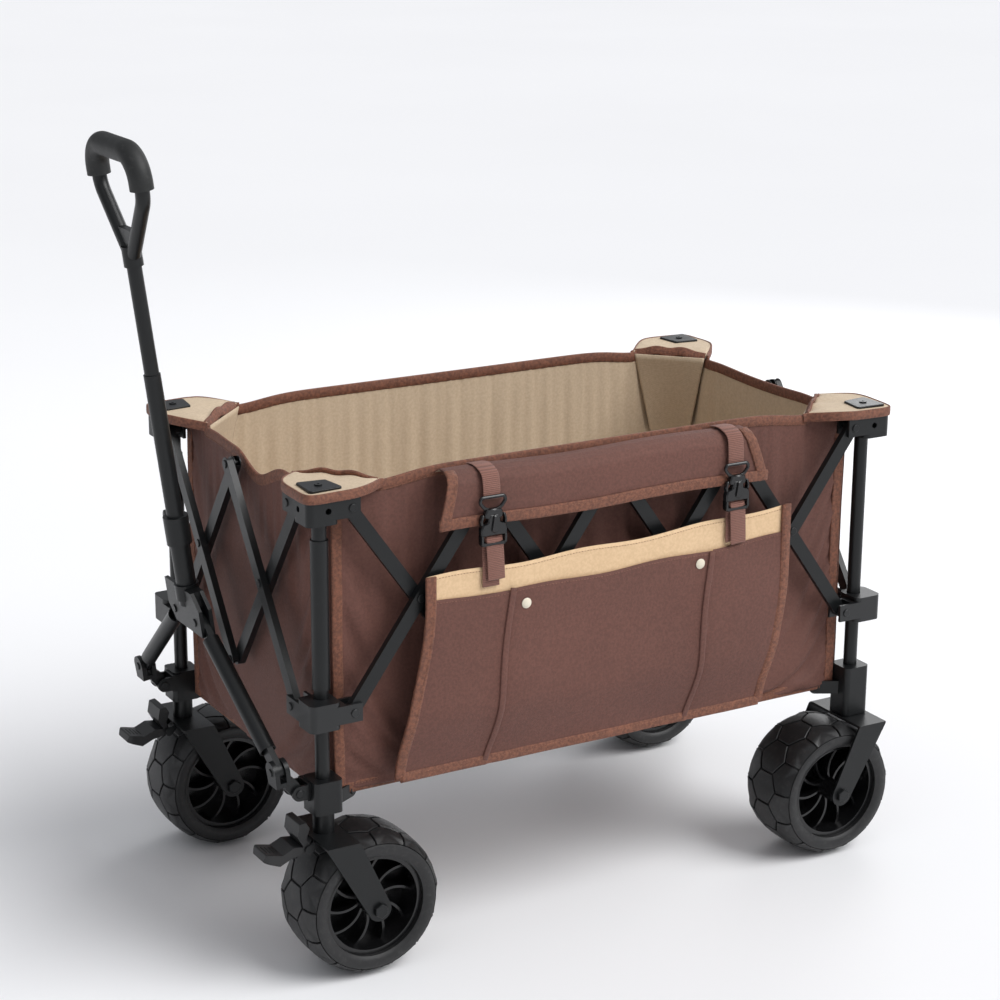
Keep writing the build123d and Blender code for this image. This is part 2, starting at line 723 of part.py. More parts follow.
def strut(corner):
    """Round strut from a foot bracket to the hub plate, with flat rounded ends."""
    inward = strut_direction(corner)
    cross = inward.cross(up)
    start = corners[corner] + inward * strut_pivot_r + up * strut_pivot_z
    flat = Plane(start, x_dir=inward, z_dir=cross)
    tang = strut_dia / 2 + 8
    with BuildPart() as body:
        with BuildSketch(Plane(start + inward * tang, z_dir=inward)):
            Circle(strut_dia / 2)
        extrude(amount=strut_span - 2 * tang)
        for place in (0, strut_span - tang):
            with BuildSketch(flat):
                with Locations((place + (tang if place else 0), 0)):
                    Circle(strut_dia / 2)
                with Locations((place + tang / 2, 0)):
                    Rectangle(tang, strut_dia)
            extrude(amount=strut_dia / 2, both=True)
        for place in (0, strut_span):
            with BuildSketch(flat):
                with Locations((place, 0)):
                    Circle(pin_dia / 2 + pin_clear)
            extrude(amount=strut_dia, both=True, mode=Mode.SUBTRACT)
    save(f"{corner}_strut", body.part)


for corner_name in corners:
    strut(corner_name)

with BuildPart() as hub:
    with BuildSketch(Plane((middle_x, 0, hub_plate_z), z_dir=up)):
        Circle(hub_arm_width)
        for corner_name in corners:
            aim = strut_direction(corner_name)
            turn = Vector(1, 0, 0).get_signed_angle(aim, up)
            with Locations(Location((0, 0, 0), (0, 0, turn + 180))):
                SlotCenterPoint((hub_arm / 2, 0), (hub_arm, 0), hub_arm_width)
    extrude(amount=hub_thick)
hub_aim = strut_direction("front_left")
hub_cross = hub_aim.cross(up)
hub_pivot = Vector(middle_x, 0, strut_pivot_z) - hub_aim * hub_arm
ear_start = strut_dia / 2 + side_gap
hub_pieces = [hub.part]
for sign in (-1, 1):
    with BuildPart() as hub_ear:
        ear_plane = Plane(hub_pivot + hub_cross * (sign * ear_start), x_dir=hub_aim * sign,
                          z_dir=hub_cross * sign)
        with BuildSketch(ear_plane):
            Circle(strut_dia / 2)
            with Locations((0, hub_plate_z - strut_pivot_z - 1)):
                Rectangle(strut_dia + 4, 2)
            make_hull()
            Circle(pin_dia / 2, mode=Mode.SUBTRACT)
        extrude(amount=lug_thick)
    hub_pieces.append(hub_ear.part)
hub_pin_start = hub_pivot - hub_cross * (ear_start + lug_thick)
hub_pieces.append(rivet(Plane(hub_pin_start, z_dir=hub_cross), 2 * (ear_start + lug_thick)))
save("floor_hub", *hub_pieces)

# ---- pull handle ----


def handle_block(corner):
    """Hinge block between a foot bracket and a handle leg."""
    y = pin_y if corners[corner].Y > 0 else -pin_y
    tilt = Vector(front_x + tilt_x, y, tilt_z)
    leg_pin = Vector(front_x + leg_pin_x, y, leg_pin_z)
    side_plane = Plane(tilt, x_dir=(1, 0, 0), z_dir=(0, -1, 0))
    normal = Vector(cos(lean), 0, sin(lean))
    half_gap = leg_tang / 2 + side_gap
    arm = leg_pin - tilt
    with BuildPart() as block:
        with BuildSketch(side_plane):
            Circle(8.6)
            with Locations((arm.X * 0.45, arm.Z * 0.42)):
                Circle(8.6)
            make_hull()
        extrude(amount=barrel_width / 2, both=True)
        with BuildSketch(side_plane):
            Circle(pin_dia / 2 + pin_clear)
        extrude(amount=barrel_width, both=True, mode=Mode.SUBTRACT)
        for sign in (-1, 1):
            face = leg_pin + normal * (sign * half_gap)
            with BuildSketch(Plane(face, x_dir=(0, sign, 0), z_dir=normal * sign)):
                Circle(14)
                with Locations((0, -17)):
                    Rectangle(24, 6)
                make_hull()
                Circle(pin_dia / 2, mode=Mode.SUBTRACT)
            extrude(amount=6)
        with BuildSketch(Plane(leg_pin, x_dir=(0, 1, 0), z_dir=normal)):
            with Locations((0, -17)):
                Rectangle(24, 6)
        extrude(amount=half_gap + 6, both=True)
    pin_plane = Plane(leg_pin - normal * (half_gap + 6), z_dir=normal)
    side_name = corner.split("_")[1]
    save(f"handle_block_{side_name}", block.part, rivet(pin_plane, 2 * (half_gap + 6)))


def handle_leg(side_name):
    """Wishbone leg: round tube with a flat tang at each end."""
    sign = 1 if side_name == "right" else -1
    foot = Vector(front_x + leg_pin_x, sign * pin_y, leg_pin_z)
    head = handle_point(sign * rivet_half, 0)
    aim = (head - foot).normalized()
    normal = Vector(cos(lean), 0, sin(lean))
    flat = Plane(foot, x_dir=aim, z_dir=normal)
    tang = leg_tube_start + 4
    with BuildPart() as leg:
        with BuildSketch(Plane(foot + aim * leg_tube_start, z_dir=aim)):
            Circle(leg_dia / 2)
            Circle(leg_dia / 2 - leg_wall, mode=Mode.SUBTRACT)
        extrude(amount=leg_span - 2 * leg_tube_start)
        for place, away in ((0, 1), (leg_span, -1)):
            with BuildSketch(flat):
                with Locations((place, 0)):
                    Circle(leg_tang_width / 2)
                with Locations((place + away * tang / 2, 0)):
                    Rectangle(tang, leg_tang_width)
            extrude(amount=leg_tang / 2, both=True)
        with BuildSketch(flat):
            with Locations((0, 0), (leg_span, 0)):
                Circle(pin_dia / 2 + pin_clear)
        extrude(amount=leg_tang, both=True, mode=Mode.SUBTRACT)
    save(f"handle_leg_{side_name}", leg.part)


for corner_name in ("front_left", "front_right"):
    handle_block(corner_name)
handle_leg("left")
handle_leg("right")


def junction_plate_at(sign):
    """Front or back plate of the junction block."""
    middle = handle_plane().offset(sign * (junction_gap + junction_plate) / 2)
    with BuildPart() as plate:
        with BuildSketch(middle) as outline:
            with Locations((0, (junction_above - junction_below) / 2)):
                Rectangle(2 * junction_half, junction_above + junction_below)
            top_corners = outline.vertices().sort_by(Axis.Z)[-2:]
            chamfer(top_corners, 20)
            with Locations((-rivet_half, 0)):
                Circle(pin_dia / 2, mode=Mode.SUBTRACT)
        extrude(amount=junction_plate / 2, both=True)
    return plate.part


def junction():
    """Junction block of the wishbone with the outer tube and its lock collar."""
    depth = junction_gap + 2 * junction_plate
    web_low = junction_above - 22
    with BuildPart() as web:
        with BuildSketch(handle_plane()):
            with Locations((0, web_low + 11)):
                Rectangle(2 * junction_half - 40, 22)
        extrude(amount=junction_gap / 2, both=True)
        with BuildSketch(handle_cross(outer_tube_start)):
            Circle(outer_tube_dia / 2)
        extrude(amount=lock_start, mode=Mode.SUBTRACT)
    plates = [junction_plate_at(sign) for sign in (-1, 1)]
    with BuildPart() as block:
        add(web)
        for plate in plates:
            add(plate)
        with BuildSketch(handle_cross(outer_tube_start + 8)):
            Circle(outer_tube_dia / 2 + 3)
        extrude(amount=junction_above - outer_tube_start - 4)
        with BuildSketch(handle_cross(outer_tube_start)):
            Circle(outer_tube_dia / 2)
        extrude(amount=lock_start, mode=Mode.SUBTRACT)
    outer = tube(handle_cross(outer_tube_start), outer_tube_end - outer_tube_start,
                 outer_tube_dia, outer_tube_dia - 2 * outer_tube_wall)
    with BuildPart() as lock:
        with BuildSketch(handle_cross(lock_start)):
            Circle(lock_dia / 2)
        extrude(amount=lock_length)
        with BuildSketch(handle_cross(lock_start + 6)):
            with Locations((lock_dia / 2, 0)):
                Rectangle(10, 16)
        extrude(amount=lock_length - 10)
        with BuildSketch(handle_cross(lock_start)):
            Circle(outer_tube_dia / 2)
        extrude(amount=outer_tube_end - lock_start, mode=Mode.SUBTRACT)
        with BuildSketch(handle_cross(outer_tube_end)):
            Circle(middle_tube_dia / 2 + slide_clear)
        extrude(amount=lock_length, mode=Mode.SUBTRACT)
    lever = lever_at(lock_start + lock_length)
    rivet_plane = handle_plane(-rivet_half, 0).offset(-depth / 2)
    open_heads = []
    for sign in (-1, 1):
        face = handle_plane(rivet_half, 0).offset(sign * depth / 2)
        with BuildPart() as stud:
            with BuildSketch(face):
                Circle(head_dia / 2)
            extrude(amount=sign * head_thick)
        open_heads.append(stud.part)
    save("handle_junction", block.part, outer, lock.part, lever, rivet(rivet_plane, depth),
         *open_heads)


def lever_at(top):
    """Clamp lever on the side of the lock collar."""
    with BuildPart() as lever:
        with BuildSketch(handle_plane(lock_dia / 2 + 5, top - lock_length)):
            with BuildLine():
                Polyline((0, 8), (5, 2), (9, 4), (8, 34), (4, 40), (0, 34), close=True)
            make_face()
        extrude(amount=6, both=True)
    return lever.part


junction()

middle_tube = tube(handle_cross(middle_tube_start), middle_tube_end - middle_tube_start,
                   middle_tube_dia, middle_tube_dia - 2 * middle_tube_wall)
save("handle_middle_tube", middle_tube)


def grip_path(start_s, bend):
    """Loop of the D-grip from its socket, or its upper arch alone."""
    arch = [(-grip_half, grip_bar), (grip_half, grip_bar)]
    if start_s is None:
        points = [(-grip_foot_y, top_tube_end + 2), (-grip_half, grip_shoulder), *arch,
                  (grip_half, grip_shoulder), (grip_foot_y, top_tube_end + 2)]
    else:
        points = [(-grip_half, start_s), *arch, (grip_half, start_s)]
    plane = handle_plane()
    with BuildLine() as route:
        FilletPolyline([plane.from_local_coords(Vector(y, s, 0)) for y, s in points], radius=bend)
    return route.wires()[0]


def swept(route, outside, inside):
    """Round tube swept along a route."""
    start = Plane(route @ 0, z_dir=route % 0)
    with BuildPart() as body:
        with BuildSketch(start):
            Circle(outside / 2)
            if inside:
                Circle(inside / 2, mode=Mode.SUBTRACT)
        sweep(path=route)
    return body.part


top_tube = tube(handle_cross(top_tube_start), top_tube_end - top_tube_start, top_tube_dia,
                top_tube_dia - 2 * top_tube_wall)
with BuildPart() as grip:
    add(swept(grip_path(None, foam_bend), grip_tube_dia, 0))
    with BuildSketch(handle_cross(top_tube_end - 14)):
        Circle(grip_socket_dia / 2)
    extrude(amount=26)
    with BuildSketch(handle_plane()):
        with BuildLine():
            Polyline((-10, top_tube_end + 6), (10, top_tube_end + 6),
                     (28, top_tube_end + 34), (-28, top_tube_end + 34), close=True)
        make_face()
    extrude(amount=5, both=True)
    with BuildSketch(handle_cross(top_tube_end - 20)):
        Circle(top_tube_dia / 2)
    extrude(amount=20, mode=Mode.SUBTRACT)
save("handle_top_tube", top_tube, grip.part)
foam_bore = grip_tube_dia + 2 * foam_gap
save("foam_grip", swept(grip_path(foam_start, foam_bend), foam_dia, foam_bore))

# ---- fabric ----


def wall_outline(inset, cut):
    """Corners of the tub's plan, inset from its outer face."""
    x = half_long - wall_in - inset
    y = half_short - wall_in - inset
    c = cut - wall_in
    return [(-x, -y + c), (-x + c, -y), (x - c, -y), (x, -y + c),
            (x, y - c), (x - c, y), (-x + c, y), (-x, y - c)]


tub_pieces = []
outer = wall_outline(0, corner_cut)
inner = wall_outline(fabric, corner_cut)
for index in range(8):
    following = (index + 1) % 8
    at_corner = index % 2 == 0
    low = corner_bottom_z if at_corner else tub_bottom_z
    with BuildPart() as panel:
        with BuildSketch(Plane((middle_x, 0, low), z_dir=up)):
            with BuildLine():
                Polyline(outer[index], outer[following], inner[following], inner[index],
                         close=True)
            make_face()
        extrude(amount=tub_top_z - low)
    tub_pieces.append(panel.part)
with BuildPart() as tub_floor:
    with BuildSketch(Plane((middle_x, 0, floor_z), z_dir=up)):
        Polygon(*wall_outline(fabric, corner_cut))
    extrude(amount=floor_thick)
save("fabric_tub", *tub_pieces, tub_floor.part)

with BuildPart() as mat:
    with BuildSketch(Plane((middle_x, 0, floor_z + floor_thick), z_dir=up)):
        Polygon(*wall_outline(fabric + mat_gap, corner_cut))
    extrude(amount=mat_thick)
    fillet(mat.edges().filter_by(Axis.Z), 3)
save("floor_mat", mat.part)


def side_pocket():
    """Outside pocket on the left: a flat back and a front that stands away at its top."""
    back_y = -half_short - block_out - pocket_gap
    section = Plane((middle_x + pocket_middle_x, back_y, 0), x_dir=(0, -1, 0), z_dir=(-1, 0, 0))
    half = pocket_width / 2
    sheet = pocket_sheet
    low, high = pocket_bottom_z, pocket_front_top_z
    back = [(0, low), (sheet, low), (sheet, pocket_back_top_z), (0, pocket_back_top_z)]
    front = [(sheet, low), (2 * sheet, low), (sheet + pocket_depth, high), (pocket_depth, high)]
    end = [(sheet, low + sheet), (pocket_depth, high), (sheet, high)]
    pieces = []
    spans = ((back, -half, half), (front, -half, half), (end, -half, -half + sheet),
             (end, half - sheet, half))
    for outline, start, finish in spans:
        with BuildPart() as panel:
            with BuildSketch(section.offset(start)):
                Polygon(*outline, align=None)
            extrude(amount=finish - start)
        pieces.append(panel.part)
    save("side_pocket", *pieces)


side_pocket()
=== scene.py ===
"""Looks of the folding camp cart: canvas tub and pocket, webbing, foam tyres and the finish of every frame part.

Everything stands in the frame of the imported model: metres, Z up, -X the front, -Y the pocket side.
"""

import json
import math

import bmesh
import bpy
import numpy as np
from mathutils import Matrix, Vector, noise


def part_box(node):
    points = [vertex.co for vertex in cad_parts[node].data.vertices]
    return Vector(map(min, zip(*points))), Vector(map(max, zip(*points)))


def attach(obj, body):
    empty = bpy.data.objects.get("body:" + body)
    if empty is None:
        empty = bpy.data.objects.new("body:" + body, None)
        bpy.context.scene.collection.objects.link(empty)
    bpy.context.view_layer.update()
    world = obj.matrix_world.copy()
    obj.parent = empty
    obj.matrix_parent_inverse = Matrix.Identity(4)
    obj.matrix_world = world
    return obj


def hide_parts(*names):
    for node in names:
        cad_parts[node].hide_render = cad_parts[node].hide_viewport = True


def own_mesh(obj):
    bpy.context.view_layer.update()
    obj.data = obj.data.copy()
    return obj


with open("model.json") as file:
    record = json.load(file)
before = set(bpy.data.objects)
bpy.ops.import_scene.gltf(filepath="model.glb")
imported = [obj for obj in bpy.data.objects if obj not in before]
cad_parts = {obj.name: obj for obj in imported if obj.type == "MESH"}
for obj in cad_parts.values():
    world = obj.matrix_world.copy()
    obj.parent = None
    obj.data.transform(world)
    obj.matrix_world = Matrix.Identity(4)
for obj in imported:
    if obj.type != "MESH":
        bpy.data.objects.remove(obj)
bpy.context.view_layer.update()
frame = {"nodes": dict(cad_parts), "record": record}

# ---- places taken from the frame ----

MM = 0.001
tub_low, tub_high = (Vector(corner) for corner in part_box("fabric_tub"))
WALL_INSET = 12 * MM  # tub wall's outer face, inward of the posts' axes
MIDDLE_X = (tub_low.x + tub_high.x) / 2
HALF_LONG = (tub_high.x - tub_low.x) / 2 + WALL_INSET
HALF_SHORT = (tub_high.y - tub_low.y) / 2 + WALL_INSET
FRONT_X = MIDDLE_X - HALF_LONG
REAR_X = MIDDLE_X + HALF_LONG
RIM_Z = tub_high.z
FOLDED_LONG = 296 * MM  # post spacing when folded
FOLDED_SHORT = 181 * MM
CORNER = 30 * MM  # where a wall turns to cross the corner, from the post's axis
HEM_Z = 236 * MM  # lower edge of the walls
CLOTH = 2.2 * MM

pocket_low, pocket_high = (Vector(corner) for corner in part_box("side_pocket"))
POSTS = {
    "front_left": Vector((FRONT_X, -HALF_SHORT, 0)),
    "front_right": Vector((FRONT_X, HALF_SHORT, 0)),
    "rear_left": Vector((REAR_X, -HALF_SHORT, 0)),
    "rear_right": Vector((REAR_X, HALF_SHORT, 0)),
}
LONG_KEEP = (FOLDED_LONG - 2 * CORNER) / (2 * HALF_LONG - 2 * CORNER)
SHORT_KEEP = (FOLDED_SHORT - 2 * CORNER) / (2 * HALF_SHORT - 2 * CORNER)


# ---- shader maths ----


class Value:
    """A socket that can be used in arithmetic."""

    def __init__(self, shader, socket):
        self.shader = shader
        self.socket = socket

    def _math(self, operation, *others):
        node = self.shader.node("ShaderNodeMath", {"operation": operation}, [self, *others])
        return node.out(0)

    def __add__(self, other):
        return self._math("ADD", other)

    __radd__ = __add__

    def __mul__(self, other):
        return self._math("MULTIPLY", other)

    __rmul__ = __mul__

    def __sub__(self, other):
        return self._math("SUBTRACT", other)

    def __rsub__(self, other):
        return (self * -1) + other

    def __truediv__(self, other):
        return self._math("DIVIDE", other)

    def __pow__(self, other):
        return self._math("POWER", other)

    def sin(self):
        return self._math("SINE")

    def abs(self):
        return self._math("ABSOLUTE")

    def fract(self):
        return self._math("FRACT")

    def clamp(self):
        return self._math("MAXIMUM", 0.0)._math("MINIMUM", 1.0)

    def above(self, level):
        return self._math("GREATER_THAN", level)

    def smooth(self, low, high):
        node = self.shader.node("ShaderNodeMapRange", {"interpolation_type": "SMOOTHSTEP"},
                                {"Value": self, "From Min": low, "From Max": high})
        return node.out("Result")


class Node:
    """A shader node made by Shader.node, with its outputs as values."""

    def __init__(self, shader, node):
        self.shader = shader
        self.node = node

    def out(self, name):
        return Value(self.shader, self.node.outputs[name])


class Shader:
    """One material's node tree, with a principled surface."""

    def __init__(self, name):
        self.material = bpy.data.materials.new(name)
        self.material.use_nodes = True
        self.tree = self.material.node_tree
        self.surface = self.tree.nodes["Principled BSDF"]

    def node(self, kind, settings=None, inputs=None):
        made = self.tree.nodes.new(kind)
        for key, value in (settings or {}).items():
            if key == "stops":
                self._ramp(made, value)
            else:
                setattr(made, key, value)
        pairs = enumerate(inputs) if isinstance(inputs, list) else (inputs or {}).items()
        for key, value in pairs:
            self.feed(made.inputs[key], value)
        return Node(self, made)

    def _ramp(self, made, stops):
        elements = made.color_ramp.elements
        while len(elements) < len(stops):
            elements.new(0.5)
        for element, (place, colour) in zip(elements, stops):
            element.position = place
            element.color = (*colour, 1)

    def feed(self, socket, value):
        if isinstance(value, Value):
            self.tree.links.new(value.socket, socket)
        elif isinstance(value, tuple) and len(value) == 3 and len(socket.default_value) == 4:
            socket.default_value = (*value, 1)
        else:
            socket.default_value = value

    def set(self, **inputs):
        for key, value in inputs.items():
            self.feed(self.surface.inputs[key.replace("_", " ").title()], value)
        return self

    def place(self):
        return self.node("ShaderNodeTexCoord").out("Object")

    def axes(self, vector):
        split = self.node("ShaderNodeSeparateXYZ", inputs=[vector])
        return split.out("X"), split.out("Y"), split.out("Z")

    def noise(self, vector, scale, detail=3.0, roughness=0.55):
        made = self.node("ShaderNodeTexNoise", inputs={"Vector": vector, "Scale": scale,
                                                       "Detail": detail, "Roughness": roughness})
        return made.out("Fac")

    def mix(self, factor, first, second, blend="MIX"):
        made = self.node("ShaderNodeMix", {"data_type": "RGBA", "blend_type": blend})
        for index, value in ((0, factor), (6, first), (7, second)):
            self.feed(made.node.inputs[index], value)
        return Value(self, made.node.outputs[2])

    def bump(self, height, strength, distance):
        made = self.node("ShaderNodeBump", inputs={"Strength": strength, "Distance": distance,
                                                   "Height": height})
        return made.out("Normal")


# ---- materials ----


def worn_metal():
    """Powder coated steel: fine texture, faint scuffs."""
    s = Shader("powder_coat")
    place = s.place()
    grain = s.noise(place, 1400.0, 2.0)
    cloud = s.noise(place, 14.0, 4.0)
    scuff = s.noise(place, 90.0, 6.0, 0.7).smooth(0.62, 0.74)
    colour = s.mix(cloud, (0.0045, 0.005, 0.0055), (0.0085, 0.0095, 0.010))
    colour = s.mix(scuff * 0.25, colour, (0.04, 0.042, 0.045))
    s.set(base_color=colour, roughness=cloud * 0.12 + 0.3 + scuff * 0.1, metallic=0.0)
    s.surface.inputs["Specular IOR Level"].default_value = 0.34
    s.set(normal=s.bump(grain, 0.25, 0.0004))
    return s.material


def moulded_plastic(name, dark, light, gloss, grain_scale=2200.0, grain_depth=0.0002):
    """Moulded nylon with a fine spark finish."""
    s = Shader(name)
    place = s.place()
    cloud = s.noise(place, 22.0, 3.0)
    grain = s.noise(place, grain_scale, 2.0)
    s.set(base_color=s.mix(cloud, dark, light), roughness=cloud * 0.1 + gloss)
    s.set(normal=s.bump(grain, 0.3, grain_depth))
    return s.material


def foam_rubber(name, dark, light, rough):
    """Foam rubber skin: pores, dust in the hollows."""
    s = Shader(name)
    place = s.place()
    pores = s.node("ShaderNodeTexVoronoi", inputs={"Vector": place, "Scale": 900.0})
    cloud = s.noise(place, 30.0, 5.0, 0.65)
    dust = s.noise(place, 160.0, 4.0).smooth(0.5, 0.75)
    colour = s.mix(cloud, dark, light)
    colour = s.mix(dust * 0.16, colour, (0.09, 0.087, 0.082))
    s.set(base_color=colour, roughness=cloud * 0.15 + rough)
    s.set(normal=s.bump(pores.out("Distance") + cloud * 2.0, 0.3, 0.0003))
    return s.material


def woven(name, dark, light, threads, depth, twill=0.0, rough=0.72, sheen=0.05,
          mottle=0.3):
    """Cloth with a plain or twill weave; threads is the number per metre."""
    s = Shader(name)
    place = s.place()
    x, y, z = s.axes(place)
    across = x + y
    pitch = threads * math.pi
    warp = ((across + z * twill) * pitch).sin().abs()
    weft = ((z - across * twill) * pitch).sin().abs()
    weave = (warp * weft) ** 0.7
    cloud = s.noise(place, 5.0, 4.0)
    slub = s.noise(place, 260.0, 3.0, 0.6).smooth(0.3, 0.7)
    tone = cloud * (0.85 - mottle) + slub * mottle + weave * 0.25
    colour = s.mix(tone.clamp(), dark, light)
    s.set(base_color=colour, roughness=rough)
    s.surface.inputs["Sheen Weight"].default_value = sheen
    s.surface.inputs["Sheen Roughness"].default_value = 0.45
    creases = s.noise(place, 38.0, 3.0, 0.5)
    s.set(normal=s.bump(weave * 0.5 + slub * 0.35 + creases * 0.8, 0.55, depth))
    return s.material


def ribbed_webbing():
    """Webbing with cross ribs and bright specks between them."""
    s = Shader("strap_webbing")
    place = s.place()
    x, y, z = s.axes(place)
    ribs = (z * (math.pi * 420.0)).sin().abs()
    cords = (x * (math.pi * 900.0)).sin().abs()
    slub = s.noise(place, 600.0, 3.0)
    tone = (ribs * 0.5 + cords * 0.25 + slub * 0.35).clamp()
    s.set(base_color=s.mix(tone, (0.06, 0.022, 0.015), (0.27, 0.115, 0.083)), roughness=0.65)
    s.surface.inputs["Sheen Weight"].default_value = 0.08
    s.set(normal=s.bump(ribs + cords * 0.4, 0.8, 0.0006))
    return s.material


METAL = worn_metal()
BRACKET = moulded_plastic("bracket_nylon", (0.005, 0.0055, 0.006), (0.010, 0.0108, 0.0115), 0.34)
PEDAL = moulded_plastic("pedal_nylon", (0.006, 0.006, 0.0065), (0.012, 0.012, 0.0125), 0.42)
RIM_BLACK = moulded_plastic("rim_gloss", (0.004, 0.004, 0.0045), (0.008, 0.008, 0.0085), 0.16)
BUCKLE = moulded_plastic("buckle_acetal", (0.004, 0.004, 0.0045), (0.009, 0.009, 0.0095), 0.2)
SNAP = moulded_plastic("snap_cream", (0.62, 0.55, 0.42), (0.78, 0.72, 0.6), 0.25)
TYRE = foam_rubber("tyre_foam", (0.0045, 0.0045, 0.005), (0.011, 0.011, 0.0115), 0.36)
GRIP = foam_rubber("grip_foam", (0.005, 0.0055, 0.0055), (0.010, 0.011, 0.011), 0.5)
CANVAS = woven("brown_canvas", (0.062, 0.021, 0.0145), (0.168, 0.066, 0.047), 1100, 0.0006)
LINING = woven("beige_lining", (0.44, 0.33, 0.22), (0.66, 0.53, 0.38), 1100, 0.0004)
BAND = woven("pocket_beige", (0.56, 0.37, 0.20), (0.80, 0.58, 0.36), 1300, 0.0003)
BINDING = woven("binding_twill", (0.055, 0.018, 0.0105), (0.27, 0.10, 0.054), 700, 0.0012,
                twill=0.75, rough=0.62, mottle=0.55)
MAT = woven("mat_cloth", (0.40, 0.30, 0.20), (0.62, 0.50, 0.36), 900, 0.0005)
THREAD = woven("brown_thread", (0.10, 0.035, 0.022), (0.36, 0.16, 0.10), 1800, 0.0003)
WEBBING = ribbed_webbing()

FINISHES = {"frame_metal": METAL, "bracket_plastic": BRACKET, "pedal_plastic": PEDAL,
            "rim_plastic": RIM_BLACK, "grip_foam": GRIP}
node_slot = {row["node"]: row["material_slot"] for row in frame["record"]["subparts"]}
for node_name, node_object in frame["nodes"].items():
    finish = FINISHES.get(node_slot[node_name])
    if finish:
        for slot_index in range(max(1, len(node_object.material_slots))):
            if not node_object.material_slots:
                node_object.data.materials.append(finish)
            else:
                node_object.material_slots[slot_index].material = finish


# ---- mesh helpers ----


def mesh_object(name, points, faces, materials, face_materials=None, smooth=True):
    """New object from plain lists, placed at the origin."""
    mesh = bpy.data.meshes.new(name)
    mesh.from_pydata([tuple(p) for p in points], [], faces)
    for material in materials:
        mesh.materials.append(material)
    if face_materials is not None:
        mesh.polygons.foreach_set("material_index", face_materials)
    mesh.polygons.foreach_set("use_smooth", [smooth] * len(mesh.polygons))
    mesh.update()
    made = bpy.data.objects.new(name, mesh)
    bpy.context.scene.collection.objects.link(made)
    return made


def outward(made):
    """Merge doubles and point every face out of its shell."""
    b = bmesh.new()
    b.from_mesh(made.data)
    bmesh.ops.remove_doubles(b, verts=b.verts, dist=1e-6)
    bmesh.ops.recalc_face_normals(b, faces=b.faces)
    b.to_mesh(made.data)
    b.free()
    return made


def apply_modifiers(made):
    """Bake the object's modifiers into its mesh."""
    graph = bpy.context.evaluated_depsgraph_get()
    baked = bpy.data.meshes.new_from_object(made.evaluated_get(graph))
    made.modifiers.clear()
    made.data = baked
    return made


def settled(grid, outward_way, most=7 * MM, give=-0.02, frames=22):
    """Let a pinned sheet of cloth with a little slack hang for a moment, by cloth simulation."""
    rows, columns = grid.shape[:2]
    quads = [(r * columns + c, r * columns + c + 1, (r + 1) * columns + c + 1, (r + 1) * columns + c)
             for r in range(rows - 1) for c in range(columns - 1)]
    sheet = mesh_object("settling", grid.reshape(-1, 3), quads, [])
    pins = sheet.vertex_groups.new(name="pins")
    held = [r * columns + c for r in range(rows) for c in range(columns)
            if r in (0, rows - 1) or c in (0, columns - 1)]
    pins.add(held, 1.0, "REPLACE")
    cloth = sheet.modifiers.new("cloth", "CLOTH")
    cloth.settings.quality = 6
    cloth.settings.mass = 0.35
    cloth.settings.tension_stiffness = cloth.settings.compression_stiffness = 25
    cloth.settings.bending_stiffness = 1.5
    cloth.settings.shrink_min = give
    cloth.settings.vertex_group_mass = "pins"
    cloth.point_cache.frame_end = frames
    scene = bpy.context.scene
    for number in range(1, frames + 1):
        scene.frame_set(number)
    result = sheet.evaluated_get(bpy.context.evaluated_depsgraph_get())
    flat = np.empty(rows * columns * 3)
    result.data.vertices.foreach_get("co", flat)
    scene.frame_set(1)
    bpy.data.objects.remove(sheet)
    move = flat.reshape(grid.shape) - grid
    out = np.array(outward_way)
    lift = np.clip(move @ out, -most, most)
    slide = move - (move @ out)[..., None] * out
    slide *= np.minimum(1.0, most / np.maximum(np.linalg.norm(slide, axis=2, keepdims=True), 1e-9))
    return grid + slide + lift[..., None] * out


def cloth_shell(name, surface, us, vs, front, back, facing, thick=CLOTH, settle=None):
    """Thin closed cloth whose outer face is surface(u, v); facing is roughly outward."""
    outer = np.array([[surface(u, v) for u in us] for v in vs], float)
    if settle:
        outer = settle(outer)
    normal = np.cross(np.gradient(outer, axis=1), np.gradient(outer, axis=0))
    if (normal @ np.array(facing)).sum() < 0:
        outer, normal = outer[:, ::-1], -normal[:, ::-1]
    normal /= np.maximum(np.linalg.norm(normal, axis=2, keepdims=True), 1e-12)
    inner = outer - normal * thick
    rows, columns = outer.shape[:2]
    count = rows * columns
    points = np.concatenate([outer.reshape(-1, 3), inner.reshape(-1, 3)])
    faces, tints = [], []
    for row in range(rows - 1):
        for column in range(columns - 1):
            a = row * columns + column
            quad = (a, a + 1, a + columns + 1, a + columns)
            faces.append(quad)
            faces.append(tuple(count + k for k in reversed(quad)))
            tints += [0, 1]
    ring = list(range(columns))
    ring += [row * columns + columns - 1 for row in range(1, rows)]
    ring += [(rows - 1) * columns + column for column in range(columns - 2, -1, -1)]
    ring += [row * columns for row in range(rows - 2, 0, -1)]
    for a, b in zip(ring, ring[1:] + ring[:1]):
        faces.append((b, a, count + a, count + b))
        tints.append(0)
    return mesh_object(name, points, faces, [front, back], tints)


